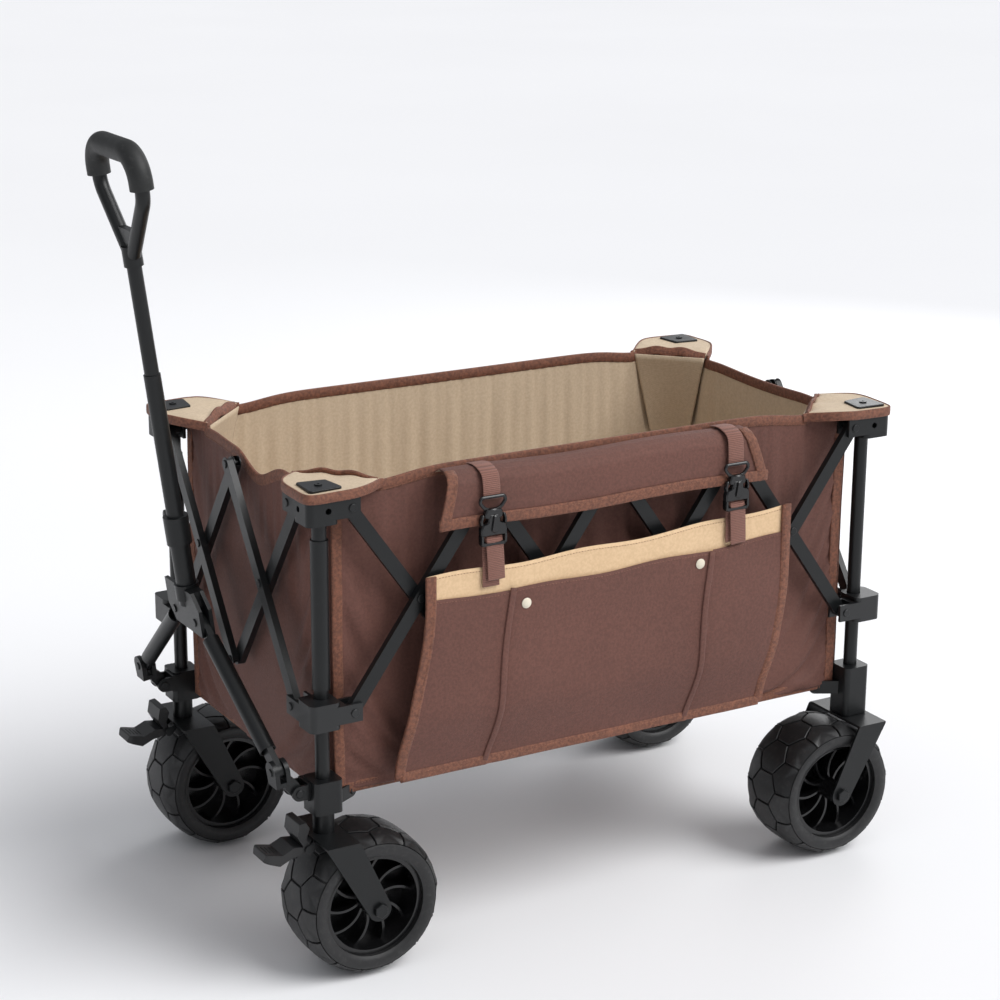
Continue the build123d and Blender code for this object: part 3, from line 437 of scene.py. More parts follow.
def band_along(name, path, width_direction, width, thick, material, puff=0.35, lift=0.0):
    """Bound edge or strap: a flat rounded strip that follows a list of points.

    width_direction is a vector or a list with one vector for each point."""
    path = np.array(path, float)
    tangent = np.gradient(path, axis=0)
    tangent /= np.linalg.norm(tangent, axis=1, keepdims=True)
    wide = np.array(width_direction, float)
    if wide.ndim == 1:
        wide = np.tile(wide, (len(path), 1))
    wide = wide - tangent * np.sum(wide * tangent, axis=1, keepdims=True)
    wide /= np.linalg.norm(wide, axis=1, keepdims=True)
    out = np.cross(tangent, wide)
    section = []
    for step in range(12):
        angle = 2 * math.pi * step / 12
        c, s = math.cos(angle), math.sin(angle)
        section.append((math.copysign(abs(c) ** puff, c) * width / 2,
                        math.copysign(abs(s) ** 0.8, s) * thick / 2 + lift))
    points, faces = [], []
    for place, w, o in zip(path, wide, out):
        points += [place + w * a + o * b for a, b in section]
    size = len(section)
    for i in range(len(path) - 1):
        for j in range(size):
            a, b = i * size + j, i * size + (j + 1) % size
            faces.append((a, b, b + size, a + size))
    faces.append(tuple(range(size))[::-1])
    faces.append(tuple((len(path) - 1) * size + j for j in range(size)))
    return outward(mesh_object(name, points, faces, [material]))


# ---- repeated stitches and fasteners, by Geometry Nodes ----


def stitch_tree():
    """Geometry Nodes: small rounded stitches laid end to end along a curve."""
    tree = bpy.data.node_groups.new("stitch_run", "GeometryNodeTree")
    sockets = tree.interface
    sockets.new_socket("Geometry", in_out="INPUT", socket_type="NodeSocketGeometry")
    for label in ("Pitch", "Stitch Length", "Thread"):
        sockets.new_socket(label, in_out="INPUT", socket_type="NodeSocketFloat")
    sockets.new_socket("Material", in_out="INPUT", socket_type="NodeSocketMaterial")
    sockets.new_socket("Geometry", in_out="OUTPUT", socket_type="NodeSocketGeometry")
    nodes, links = tree.nodes, tree.links
    source = nodes.new("NodeGroupInput")
    target = nodes.new("NodeGroupOutput")
    resample = nodes.new("GeometryNodeResampleCurve")
    resample.mode = "LENGTH"
    tangent = nodes.new("GeometryNodeInputTangent")
    align = nodes.new("FunctionNodeAlignEulerToVector")
    align.axis = "Z"
    capsule = nodes.new("GeometryNodeMeshIcoSphere")
    capsule.inputs["Subdivisions"].default_value = 1
    capsule.inputs["Radius"].default_value = 0.5
    scale = nodes.new("ShaderNodeCombineXYZ")
    instance = nodes.new("GeometryNodeInstanceOnPoints")
    to_points = nodes.new("GeometryNodeCurveToPoints")
    to_points.mode = "EVALUATED"
    realize = nodes.new("GeometryNodeRealizeInstances")
    paint = nodes.new("GeometryNodeSetMaterial")
    links.new(source.outputs["Geometry"], resample.inputs["Curve"])
    links.new(source.outputs["Pitch"], resample.inputs["Length"])
    links.new(resample.outputs["Curve"], to_points.inputs["Curve"])
    links.new(tangent.outputs["Tangent"], align.inputs["Vector"])
    links.new(to_points.outputs["Points"], instance.inputs["Points"])
    links.new(capsule.outputs["Mesh"], instance.inputs["Instance"])
    links.new(to_points.outputs["Rotation"], instance.inputs["Rotation"])
    for axis in ("X", "Y"):
        links.new(source.outputs["Thread"], scale.inputs[axis])
    links.new(source.outputs["Stitch Length"], scale.inputs["Z"])
    links.new(scale.outputs["Vector"], instance.inputs["Scale"])
    links.new(instance.outputs["Instances"], realize.inputs["Geometry"])
    links.new(realize.outputs["Geometry"], paint.inputs["Geometry"])
    links.new(source.outputs["Material"], paint.inputs["Material"])
    links.new(paint.outputs["Geometry"], target.inputs["Geometry"])
    return tree


STITCHES = stitch_tree()


def stitches(name, runs, pitch=4.4 * MM, length=3.3 * MM, thread=0.8 * MM):
    """One mesh of stitches along several runs of points."""
    curve = bpy.data.curves.new(name + "_line", "CURVE")
    curve.dimensions = "3D"
    for run in runs:
        spline = curve.splines.new("POLY")
        spline.points.add(len(run) - 1)
        for point, place in zip(spline.points, run):
            point.co = (*place, 1)
    line = bpy.data.objects.new(name + "_line", curve)
    bpy.context.scene.collection.objects.link(line)
    modifier = line.modifiers.new("stitches", "NODES")
    modifier.node_group = STITCHES
    values = {"Pitch": pitch, "Stitch Length": length, "Thread": thread, "Material": THREAD}
    for item in STITCHES.interface.items_tree:
        if item.in_out == "INPUT" and item.name in values:
            modifier[item.identifier] = values[item.name]
    graph = bpy.context.evaluated_depsgraph_get()
    mesh = bpy.data.meshes.new_from_object(line.evaluated_get(graph))
    bpy.data.objects.remove(line)
    mesh.name = name
    made = bpy.data.objects.new(name, mesh)
    bpy.context.scene.collection.objects.link(made)
    mesh.polygons.foreach_set("use_smooth", [True] * len(mesh.polygons))
    return made


# ---- tyres ----

tyre_low, tyre_high = (Vector(corner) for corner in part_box("front_left_tyre"))
rim_low, rim_high = (Vector(corner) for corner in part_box("front_left_rim"))
TYRE_R = (tyre_high.z - tyre_low.z) / 2
TYRE_HALF = (tyre_high.y - tyre_low.y) / 2
BEAD_R = (rim_high.z - rim_low.z) / 2 + 0.3 * MM
TREAD_REACH = TYRE_HALF + 1 * MM  # tread edge, along the section from its middle
GROOVE_DEPTH = 2.8 * MM
GROOVE = 2.6 * MM
HEX_COUNT = 13
# section of the tyre: share of its half width, and how far below the crown, in millimetres
SECTION = ((0, 0), (0.2, 0.1), (0.41, 0.5), (0.61, 1.5), (0.775, 3.2), (0.9, 6.4), (0.965, 10.5), (0.992, 14),
           (1, 17.5), (0.992, 21), (0.975, 24))
PROFILE = np.array([(share * TYRE_HALF, TYRE_R - drop * MM) for share, drop in SECTION]
                   + [(0.93 * TYRE_HALF, BEAD_R)])
profile_reach = np.concatenate([[0], np.cumsum(np.hypot(*np.diff(PROFILE, axis=0).T))])


def tyre_point(angle, reach, depth=0.0):
    """Point on the tyre about its own centre: angle round the axle, reach along the section."""
    side = math.copysign(1.0, reach)
    s = abs(reach)
    y = np.interp(s, profile_reach, PROFILE[:, 0])
    r = np.interp(s, profile_reach, PROFILE[:, 1])
    step = 1.5 * MM
    dy = np.interp(s + step, profile_reach, PROFILE[:, 0]) - np.interp(max(s - step, 0), profile_reach, PROFILE[:, 0])
    dr = np.interp(s + step, profile_reach, PROFILE[:, 1]) - np.interp(max(s - step, 0), profile_reach, PROFILE[:, 1])
    size = math.hypot(dy, dr) or 1
    ny, nr = -dr / size, dy / size
    y, r = y - ny * depth, r - nr * depth
    return Vector((r * math.sin(angle), side * y, r * math.cos(angle)))


def hexagon(centre_angle, centre_reach, shrink):
    """Corners (angle, reach) of one tread block, clipped at the shoulder."""
    pitch = 2 * math.pi * TYRE_R / HEX_COUNT
    radius = pitch / math.sqrt(3)
    inner = radius - shrink * 2 / math.sqrt(3)
    limit = TREAD_REACH
    corners = []
    for step in range(6):
        turn = math.radians(60 * step)
        corners.append((inner * math.sin(turn), centre_reach + inner * math.cos(turn)))
    clipped = []
    for (c0, s0), (c1, s1) in zip(corners, corners[1:] + corners[:1]):
        inside0, inside1 = abs(s0) <= limit, abs(s1) <= limit
        if inside0:
            clipped.append((c0, s0))
        if inside0 != inside1:
            edge = math.copysign(limit, s0 if not inside0 else s1)
            share = (edge - s0) / (s1 - s0)
            clipped.append((c0 + (c1 - c0) * share, edge))
    return [(centre_angle + c / (TYRE_R), s) for c, s in clipped]


def tyre_mesh():
    """Points and faces of a tyre: a grooved carcass with hexagonal blocks on it."""
    points, faces = [], []
    around = 104
    reach_steps = [-profile_reach[-1] + 2 * profile_reach[-1] * i / 56 for i in range(57)]
    for reach in reach_steps:
        inside = min(max((TREAD_REACH + 1.2 * MM - abs(reach)) / (2.4 * MM), 0), 1)
        for step in range(around):
            points.append(tyre_point(2 * math.pi * step / around, reach, GROOVE_DEPTH * inside))
    rows = len(reach_steps)
    for row in range(rows - 1):
        for step in range(around):
            a, b = row * around + step, row * around + (step + 1) % around
            faces.append((a, b, b + around, a + around))
    last = (rows - 1) * around
    base = len(points)
    for side in (0, 1):
        edge = points[side * last]
        for step in range(around):
            angle = 2 * math.pi * step / around
            points.append(Vector((BEAD_R * math.sin(angle), edge.y * 0.9, BEAD_R * math.cos(angle))))
    for step in range(around):
        a, b = step, (step + 1) % around
        faces.append((base + a, base + b, b, a))
        faces.append((last + a, last + b, base + around + b, base + around + a))
        faces.append((base + around + a, base + around + b, base + b, base + a))
    for row in (-1, 0, 1):
        pitch_angle = 2 * math.pi / HEX_COUNT
        centre_reach = row * 1.5 * (2 * math.pi * TYRE_R / HEX_COUNT) / math.sqrt(3)
        for index in range(HEX_COUNT):
            centre = (index + 0.5 * abs(row)) * pitch_angle
            add_block(points, faces, centre, centre_reach)
    return points, faces


def add_block(points, faces, centre, reach):
    """One tread block with a chamfered crown that follows the tyre."""
    rings = [(GROOVE / 2 - 0.3 * MM, GROOVE_DEPTH + 0.3 * MM), (GROOVE / 2, 0.7 * MM)]
    rings += [(GROOVE / 2 + 0.8 * MM + 4.2 * MM * step, 0.0) for step in range(5)]
    size = 0
    for level, (shrink, depth) in enumerate(rings):
        corners = hexagon(centre, reach, shrink)
        loop = []
        for (a0, s0), (a1, s1) in zip(corners, corners[1:] + corners[:1]):
            loop += [(a0 + (a1 - a0) * t / 6, s0 + (s1 - s0) * t / 6) for t in range(6)]
        if level and len(loop) != size:
            break
        size = len(loop)
        points += [tyre_point(a, s, depth) for a, s in loop]
        if level:
            start = len(points) - 2 * size
            for j in range(size):
                k = (j + 1) % size
                faces.append((start + j, start + k, start + size + k, start + size + j))
    start = len(points) - size
    corners = hexagon(centre, reach, 0)
    points.append(tyre_point(sum(a for a, s in corners) / len(corners), sum(s for a, s in corners) / len(corners)))
    for j in range(size):
        faces.append((start + j, start + (j + 1) % size, len(points) - 1))


tyre_points, tyre_faces = tyre_mesh()
for corner_name in POSTS:
    low, high = (Vector(c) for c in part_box(corner_name + "_tyre"))
    hub = (low + high) / 2
    tyre = outward(mesh_object(corner_name + "_foam_tyre", [p + hub for p in tyre_points], tyre_faces, [TYRE]))
    tyre.data.polygons.foreach_set("use_smooth", [True] * len(tyre.data.polygons))
    tyre.data.set_sharp_from_angle(angle=math.radians(38))
    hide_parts(corner_name + "_tyre")
    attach(tyre, corner_name + "_wheel")


# ---- tub walls ----

UP = Vector((0, 0, 1))
TIP = 88 * MM  # where a corner gusset meets the walls' rims, from the post's axis


def local(corner, a, b, z):
    """Point at a corner: a along the long side, b along the short side, both inward of the post."""
    post = POSTS[corner]
    towards_x = 1 if post.x < MIDDLE_X else -1
    towards_y = -1 if post.y > 0 else 1
    return Vector((post.x + towards_x * a, post.y + towards_y * b, z))


def ease(t):
    """Smooth step from 0 to 1."""
    t = min(max(t, 0.0), 1.0)
    return t * t * (3 - 2 * t)


def wall_wave(x, z, seed):
    """Soft creases of hanging canvas, in metres out of the wall."""
    broad = noise.noise(Vector((x * 5.5, z * 3.0, seed))) * 3.2
    slanted = noise.noise(Vector(((x + z * 0.8) * 11, (z - x * 0.6) * 4, seed + 7))) * 1.6
    fine = noise.noise(Vector((x * 30, z * 16, seed + 3))) * 0.45
    return (broad + slanted + fine) * MM


def go_with(piece, wall):
    """Fix a piece to a wall: it rides the wall's post."""
    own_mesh(piece)
    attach(piece, wall["body"])


WALLS = {}
for side, start, along, out, half, seed, keep in (
    ("left", "front_left", Vector((1, 0, 0)), Vector((0, -1, 0)), HALF_LONG, 1, LONG_KEEP),
    ("right", "front_right", Vector((1, 0, 0)), Vector((0, 1, 0)), HALF_LONG, 2, LONG_KEEP),
    ("front", "front_left", Vector((0, 1, 0)), Vector((-1, 0, 0)), HALF_SHORT, 3, SHORT_KEEP),
    ("rear", "rear_left", Vector((0, 1, 0)), Vector((1, 0, 0)), HALF_SHORT, 4, SHORT_KEEP),
):
    WALLS[side] = {"body": start + "_post", "along": along, "out": out, "seed": seed, "keep": keep,
                   "anchor": POSTS[start] + along * CORNER, "length": 2 * half - 2 * CORNER,
                   "base": POSTS[start] + along * CORNER - out * WALL_INSET,
                   "tip": (TIP - CORNER) / (2 * half - 2 * CORNER)}


def rim_height(side, t):
    """Top edge of a wall, t from 0 to 1 along it: lowest where the gussets' tips pull it down."""
    tip = WALLS[side]["tip"]
    dip = math.exp(-(((t - tip) / 0.07) ** 2)) + math.exp(-(((1 - t - tip) / 0.07) ** 2))
    sag = math.sin(math.pi * t)
    if side in ("left", "right"):
        return RIM_Z + (3 - dip * 9) * MM
    if side == "front":
        slump = 1 - abs(t - 0.40) / 0.18
        return RIM_Z - (sag * 11 + dip * 4 + 20 * ease(slump)) * MM
    return RIM_Z - (sag * 14 + dip * 3) * MM


def wall_surface(side):
    """Function of (t, v) for the outer face of a wall."""
    wall = WALLS[side]
    lean = -2 * MM if side in ("left", "right") else 7 * MM

    def surface(t, v):
        z = HEM_Z + (rim_height(side, t) - HEM_Z) * v
        held = min(1.0, 5 * t, 5 * (1 - t)) * min(1.0, 6 * (1 - v) + 0.15, 6 * v + 0.25)
        bulge = wall_wave(t * wall["length"], z, wall["seed"]) * held
        bulge += lean * math.sin(math.pi * t) ** 1.4 * v**6 - 2.0 * MM * math.sin(math.pi * v) * held
        return wall["base"] + wall["along"] * (t * wall["length"]) + UP * z + wall["out"] * bulge

    return surface


def run(surface, ts, v, move=Vector()):
    """Points along a wall at one height."""
    return [surface(t, v) + move for t in ts]


for side, wall in WALLS.items():
    surface = wall_surface(side)
    columns = 150 if wall["length"] > 0.6 else 84
    settle = lambda grid, way=wall["out"]: settled(grid, way)
    cloth = cloth_shell(f"tub_wall_{side}", surface, np.linspace(0, 1, columns), np.linspace(0, 1, 64),
                        CANVAS, LINING, wall["out"], settle=settle)
    if side == "left":
        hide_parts("fabric_tub")
    go_with(cloth, wall)
    whole = np.linspace(0, 1, columns)
    open_rim = np.linspace(wall["tip"], 1 - wall["tip"], columns)
    middle = wall["out"] * (-CLOTH / 2)
    rim = band_along(f"rim_binding_{side}", run(surface, open_rim, 1.0, middle - UP * 4 * MM), UP,
                     15 * MM, 5.2 * MM, BINDING)
    hem = band_along(f"hem_binding_{side}", run(surface, whole, 0.0, middle + UP * 5 * MM), UP,
                     15 * MM, 4.4 * MM, BINDING)
    proud = wall["out"] * 1.7 * MM
    threads = stitches(f"wall_stitches_{side}", [run(surface, open_rim, 1.0, proud - UP * 9 * MM),
                                                 run(surface, whole, 0.0, proud + UP * 9 * MM)])
    for piece in (rim, hem, threads):
        go_with(piece, wall)


# ---- tub corners ----


def smooth_path(points, steps=10):
    """Catmull-Rom line through the points."""
    points = [Vector(p) for p in points]
    line = []
    for i in range(len(points) - 1):
        p0, p1, p2, p3 = points[max(i - 1, 0)], points[i], points[i + 1], points[min(i + 2, len(points) - 1)]
        for step in range(steps):
            t = step / steps
            line.append(0.5 * (2 * p1 + (p2 - p0) * t + (2 * p0 - 5 * p1 + 4 * p2 - p3) * t * t
                               + (3 * p1 - p0 - 3 * p2 + p3) * t**3))
    return line + [points[-1]]


# outside edge of a gusset, (a, b, height above the rim) in millimetres, from the long wall to the corner
GUSSET_EDGE = [(TIP / MM + 6, 10.5, -7), (TIP / MM, 8, -6), (70, -10, -3), (52, -24, -1), (34, -30, -1), (8, -30.5, -1.5),
               (-14, -30, -2), (-26, -26, -2)]


def gusset_line(corner):
    """The gusset's outside edge, from one wall round the bracket to the other."""
    half = [local(corner, a * MM, b * MM, RIM_Z + z * MM) for a, b, z in GUSSET_EDGE]
    other = [local(corner, b * MM, a * MM, RIM_Z + z * MM) for a, b, z in GUSSET_EDGE[:-1]]
    return smooth_path(half + other[::-1])


def diagonal_line(corner, steps=71):
    """The gusset's inner edge across the corner, slightly wavy."""
    line = []
    for i in range(steps):
        t = i / (steps - 1)
        a, b = TIP + (12 * MM - TIP) * t, 12 * MM + (TIP - 12 * MM) * t
        wave = math.sin(t * math.pi) * (3.4 + 0.9 * math.sin(t * 15 + len(corner)))
        line.append(local(corner, a, b, RIM_Z - 5 * MM + wave * 2.0 * MM))
    return line


for corner in POSTS:
    body = corner + "_post"
    outward_way = (local(corner, -1, -1, 0) - local(corner, 0, 0, 0)).normalized()
    outside = gusset_line(corner)
    inside = diagonal_line(corner, len(outside))
    level = RIM_Z + 4.2 * MM

    def gusset_surface(u, v):
        at = u * (len(outside) - 1)
        i = min(int(at), len(outside) - 2)
        share = at - i
        edge = outside[i].lerp(outside[i + 1], share)
        near = inside[i].lerp(inside[i + 1], share)
        edge = Vector((edge.x, edge.y, edge.z + 5.5 * MM))
        place = edge.lerp(near, v)
        flat = min(1.0, 4 * v, 2.2 * (1 - v)) * min(1.0, 5 * u, 5 * (1 - u))
        place.z = place.z * (1 - flat) + level * flat
        return place

    def fall_surface(u, v):
        top = inside[0].lerp(inside[-1], u)
        low_a = CORNER + 2 * MM + (15 * MM - CORNER) * u
        low_b = 15 * MM + (CORNER + 2 * MM - 15 * MM) * u
        low = local(corner, low_a, low_b, RIM_Z - 230 * MM)
        place = low.lerp(Vector((top.x, top.y, RIM_Z - 5 * MM)), v)
        slack = math.sin(math.pi * v) * math.sin(math.pi * u)
        return place + outward_way * (6 * MM * slack - 6 * MM)

    def panel_surface(u, v):
        a = CORNER + (WALL_INSET - CORNER) * u
        b = WALL_INSET + (CORNER - WALL_INSET) * u
        return local(corner, a, b, HEM_Z + (RIM_Z - 4 * MM - HEM_Z) * v)

    gusset = cloth_shell(f"corner_gusset_{corner}", gusset_surface, np.linspace(0, 1, 120), np.linspace(0, 1, 16),
                         LINING, CANVAS, UP, thick=1.6 * MM)
    fall = cloth_shell(f"corner_lining_{corner}", fall_surface, np.linspace(0, 1, 30), np.linspace(0, 1, 30),
                       LINING, CANVAS, -outward_way, thick=1.6 * MM)
    panel = cloth_shell(f"corner_panel_{corner}", panel_surface, np.linspace(0, 1, 8), np.linspace(0, 1, 60),
                        CANVAS, LINING, outward_way)
    edge_band = band_along(f"gusset_binding_{corner}", outside, UP, 13 * MM, 3.4 * MM, BINDING)
    inner_band = band_along(f"diagonal_binding_{corner}", inside, UP + outward_way * 0.5, 14 * MM, 5.0 * MM, BINDING)
    edge_threads = stitches(f"gusset_stitches_{corner}",
                            [[p + outward_way * 0 + UP * 3.6 * MM for p in smooth_path(outside, 2)]])
    seams = []
    for long_side in (True, False):
        line = []
        for z in np.linspace(HEM_Z, RIM_Z - 6 * MM, 48):
            wander = noise.noise(Vector((z * 14, POSTS[corner].x, POSTS[corner].y))) * 1.5 * MM
            a, b = 29 * MM + wander, WALL_INSET - 0.3 * MM
            line.append(local(corner, a, b, z) if long_side else local(corner, b, a, z))
        tag = "long" if long_side else "short"
        wide = Vector((1, 0, 0)) if long_side else Vector((0, 1, 0))
        seams.append(band_along(f"corner_binding_{corner}_{tag}", line, wide, 15 * MM, 4.0 * MM, BINDING))
    for piece in (gusset, fall, panel, edge_band, inner_band, edge_threads, *seams):
        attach(piece, body)


# ---- floor and folding mat ----

mat_low, mat_high = (Vector(c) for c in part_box("floor_mat"))
FLOOR_Z = mat_low.z
SEAM = 1.5 * MM
for corner, post in POSTS.items():
    edge_x = mat_low.x if post.x < MIDDLE_X else mat_high.x
    edge_y = mat_low.y if post.y < 0 else mat_high.y
    mid_x = MIDDLE_X + (SEAM if edge_x > MIDDLE_X else -SEAM)
    mid_y = SEAM if edge_y > 0 else -SEAM

    def floor_surface(u, v):
        sag = -1.5 * MM * math.sin(math.pi * u) * math.sin(math.pi * v)
        return Vector((edge_x + (mid_x - edge_x) * u, edge_y + (mid_y - edge_y) * v, FLOOR_Z - 0.6 * MM + sag))

    def mat_surface(u, v):
        rise = min(1.0, u * 404 / 7, (1 - u) * 404 / 7, v * 210 / 7, (1 - v) * 210 / 7)
        lump = noise.noise(Vector((u * 6 + edge_x, v * 4 + edge_y, 2))) * 0.6 * MM
        top = (mat_high.z - FLOOR_Z) * (1 - (1 - rise) ** 2) ** 0.5
        cut = 1 - 6 * MM / 0.4
        return Vector((edge_x + (mid_x - edge_x) * (0.006 + u * cut), edge_y + (mid_y - edge_y) * (0.008 + v * 0.984),
                       FLOOR_Z + 0.8 * MM + top + lump * rise))

    steps = np.linspace(0, 1, 40)
    eased = 0.5 - 0.5 * np.cos(steps * math.pi)
    floor_cloth = cloth_shell(f"tub_floor_{corner}", floor_surface, steps, steps, LINING, CANVAS, UP)
    mat = cloth_shell(f"mat_panel_{corner}", mat_surface, eased, eased, MAT, MAT, UP, thick=0.7 * MM)
    if corner == "front_left":
        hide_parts("floor_mat")
    for piece, slot in ((floor_cloth, "brown_canvas"), (mat, "mat_cloth")):
        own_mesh(piece)
        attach(piece, corner + "_strut")


# ---- outside pocket ----

LEFT = WALLS["left"]
POCKET_BACK_Y = pocket_high.y - 1.0 * MM
POCKET_TUCK_Y = POCKET_BACK_Y + 17 * MM  # at the hem, below the bars
TUCK_TOP = 345 * MM
POCKET_BOTTOM = HEM_Z + 14 * MM
LEFT_TOP, LEFT_BOTTOM = pocket_low.x + 13 * MM, pocket_low.x - 24 * MM
RIGHT_TOP, RIGHT_BOTTOM = pocket_high.x + 14 * MM, pocket_high.x - 10 * MM
BAND_TOP_LEFT, BAND_TOP_RIGHT = pocket_high.z - 7 * MM, pocket_high.z + 8 * MM
DIVIDERS = ((MIDDLE_X - 160 * MM, MIDDLE_X - 190 * MM), (MIDDLE_X + 148 * MM, MIDDLE_X + 124 * MM))
FRONT_TOP = pocket_high.z - 34 * MM


def pocket_x(u, z):
    """x of the pocket at share u of its width: its sides lean."""
    h = (z - POCKET_BOTTOM) / (BAND_TOP_LEFT - POCKET_BOTTOM)
    left = LEFT_BOTTOM + (LEFT_TOP - LEFT_BOTTOM) * ease(h * 1.15)
    right = RIGHT_BOTTOM + (RIGHT_TOP - RIGHT_BOTTOM) * ease(h * 1.4)
    return left + (right - left) * u


def tuck(z):
    """y of the pocket's back: clear of the bars, pulled in to the hem below them."""
    return POCKET_TUCK_Y + (POCKET_BACK_Y - POCKET_TUCK_Y) * ease((z - POCKET_BOTTOM) / (TUCK_TOP - POCKET_BOTTOM))


def back_surface(u, v):
    top = BAND_TOP_LEFT + (BAND_TOP_RIGHT - BAND_TOP_LEFT) * u - 5 * MM * math.sin(math.pi * u)
    top += 2.0 * MM * math.sin(u * 19)
    z = POCKET_BOTTOM + (top - POCKET_BOTTOM) * v
    ripple = noise.noise(Vector((u * 7, v * 3, 5))) * 1.2 * MM * math.sin(math.pi * u)
    return Vector((pocket_x(u, z), tuck(z) + ripple - 1.0 * MM, z))


def front_top(u):
    """Top edge of the pocket's front: it sags a little in each compartment."""
    return FRONT_TOP + (9 * u - 6 - 5 * math.sin(math.pi * u) + 1.6 * math.cos(u * 6.4 * math.pi)) * MM


def front_surface(u, v):
    z = POCKET_BOTTOM + (front_top(u) - POCKET_BOTTOM) * v
    x = pocket_x(u, z)
    h = (z - POCKET_BOTTOM) / (FRONT_TOP - POCKET_BOTTOM)
    ends = min(1.0, 7 * u, 7 * (1 - u)) ** 0.7
    y = tuck(z) - (3.4 + 6.5 * math.sin(math.pi * min(h, 1.0)) ** 0.8 * ends) * MM
    y += noise.noise(Vector((x * 9, z * 5, 9))) * 1.5 * MM * ends
    y += noise.noise(Vector((x * 24, z * 10, 4))) * 0.5 * MM * ends
    for top_x, bottom_x in DIVIDERS:
        line = bottom_x + (top_x - bottom_x) * h + 3 * MM * math.sin(h * 7)
        away = x - line
        if away > 0:
            y += 1.4 * MM * math.exp(-away / (6 * MM)) * min(1.0, away / (1.2 * MM))
        else:
            y -= 4.6 * MM * math.exp(away / (11 * MM)) * min(1.0, 0.25 + h * 1.5)
    return Vector((x, y, z))


def on_front(x, z):
    """Point on the pocket's front at x and height z."""
    u = (x - pocket_x(0, z)) / (pocket_x(1, z) - pocket_x(0, z))
    v = (z - POCKET_BOTTOM) / (front_top(u) - POCKET_BOTTOM)
    return front_surface(u, v)


def dense_columns():
    """Shares of the width, closer together where the pleats are."""
    shares = set(np.round(np.linspace(0, 1, 120), 5))
    span = RIGHT_TOP - LEFT_TOP
    for top_x, bottom_x in DIVIDERS:
        low = (bottom_x - LEFT_BOTTOM) / span - 0.02
        high = (top_x - LEFT_TOP) / span + 0.02
        shares |= set(np.round(np.arange(min(low, high), max(low, high), 0.0032), 5))
    return np.array(sorted(shares))


OUT = Vector((0, -1, 0))
back = cloth_shell("pocket_back", back_surface, np.linspace(0, 1, 110), np.linspace(0, 1, 44), BAND, CANVAS, OUT,
                   thick=1.2 * MM)
front = cloth_shell("pocket_front", front_surface, dense_columns(), np.linspace(0, 1, 56), CANVAS, LINING, OUT,
                    thick=1.2 * MM)
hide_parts("side_pocket")
pocket_pieces = [back, front]
heights = np.linspace(0, 1, 50)
for tag, u in (("left", 0.0), ("right", 1.0)):
    line = [back_surface(u, v) + OUT * 2.0 * MM for v in heights]
    inward_x = 5 * MM if u == 0.0 else -5 * MM
    line = [p + Vector((inward_x, 0, 0)) for p in line]
    pocket_pieces.append(band_along(f"pocket_binding_{tag}", line, Vector((1, 0, 0)), 15 * MM, 6.0 * MM, BINDING))
    pocket_pieces.append(stitches(f"pocket_side_stitches_{tag}",
                                  [[p + OUT * 3.1 * MM + Vector((inward_x * 0.7, 0, 0)) for p in line]]))
widths = np.linspace(0.01, 0.99, 110)
pocket_pieces.append(band_along("pocket_hem", [front_surface(u, 0.0) + OUT * 0.6 * MM + UP * 3 * MM for u in widths],
                                UP, 14 * MM, 4.4 * MM, BINDING))
pocket_pieces.append(stitches("pocket_stitches", [
    [back_surface(u, 1.0) + OUT * 0.4 * MM - UP * 5 * MM for u in widths],
    [front_surface(u, 1.0) + OUT * 0.4 * MM - UP * 4 * MM for u in widths],
    [front_surface(u, 0.0) + OUT * 2.9 * MM + UP * 6 * MM for u in widths]]))
for index, (top_x, bottom_x) in enumerate(DIVIDERS):
    line = []
    for h in np.linspace(0.01, 0.995, 60):
        z = POCKET_BOTTOM + (FRONT_TOP - POCKET_BOTTOM - 4 * MM) * h
        x = bottom_x + (top_x - bottom_x) * h + 3 * MM * math.sin(h * 7) - 5 * MM
        line.append(Vector((x, on_front(x - 2 * MM, z).y - 0.6 * MM, z)))
    fold = band_along(f"pocket_pleat_{index + 1}", line, Vector((1, 0, 0)), 9 * MM, 3.4 * MM, CANVAS, puff=0.5)
    pocket_pieces.append(fold)
for piece in pocket_pieces:
    go_with(piece, LEFT)


# ---- flap over the bars ----

FLAP_LEFT_TOP, FLAP_LEFT_BOTTOM = MIDDLE_X - 251 * MM, MIDDLE_X - 269 * MM
FLAP_RIGHT_TOP, FLAP_RIGHT_BOTTOM = MIDDLE_X + 211 * MM, MIDDLE_X + 235 * MM
FLAP_BOTTOM = 581 * MM
FLAP_PROFILE = [(-1.5, 645), (-10, 650), (-24, 650), (-35, 645.5), (-41.5, 636), (-43.5, 620), (-44, 600), (-44, 581)]
RIM_Y = POSTS["front_left"].y + WALL_INSET


def flap_surface(u, v):
    at = v * (len(FLAP_PROFILE) - 1)
    i = min(int(at), len(FLAP_PROFILE) - 2)
    (y0, z0), (y1, z1) = FLAP_PROFILE[i], FLAP_PROFILE[i + 1]
    share = at - i
    y, z = (y0 + (y1 - y0) * share) * MM, (z0 + (z1 - z0) * share) * MM
    h = min(max((650 * MM - z) / (69 * MM), 0.0), 1.0)
    left = FLAP_LEFT_TOP + (FLAP_LEFT_BOTTOM - FLAP_LEFT_TOP) * h
    right = FLAP_RIGHT_TOP + (FLAP_RIGHT_BOTTOM - FLAP_RIGHT_TOP) * h
    x = left + (right - left) * u
    wave = noise.noise(Vector((x * 8, z * 8, 12))) * 2.4 + noise.noise(Vector((x * 26, z * 14, 3))) * 0.7
    lift = 2.4 * MM * math.sin(u * 9.4 + 1.0)
    return Vector((x, RIM_Y + y - abs(wave) * MM * h, z + lift * 0.7))


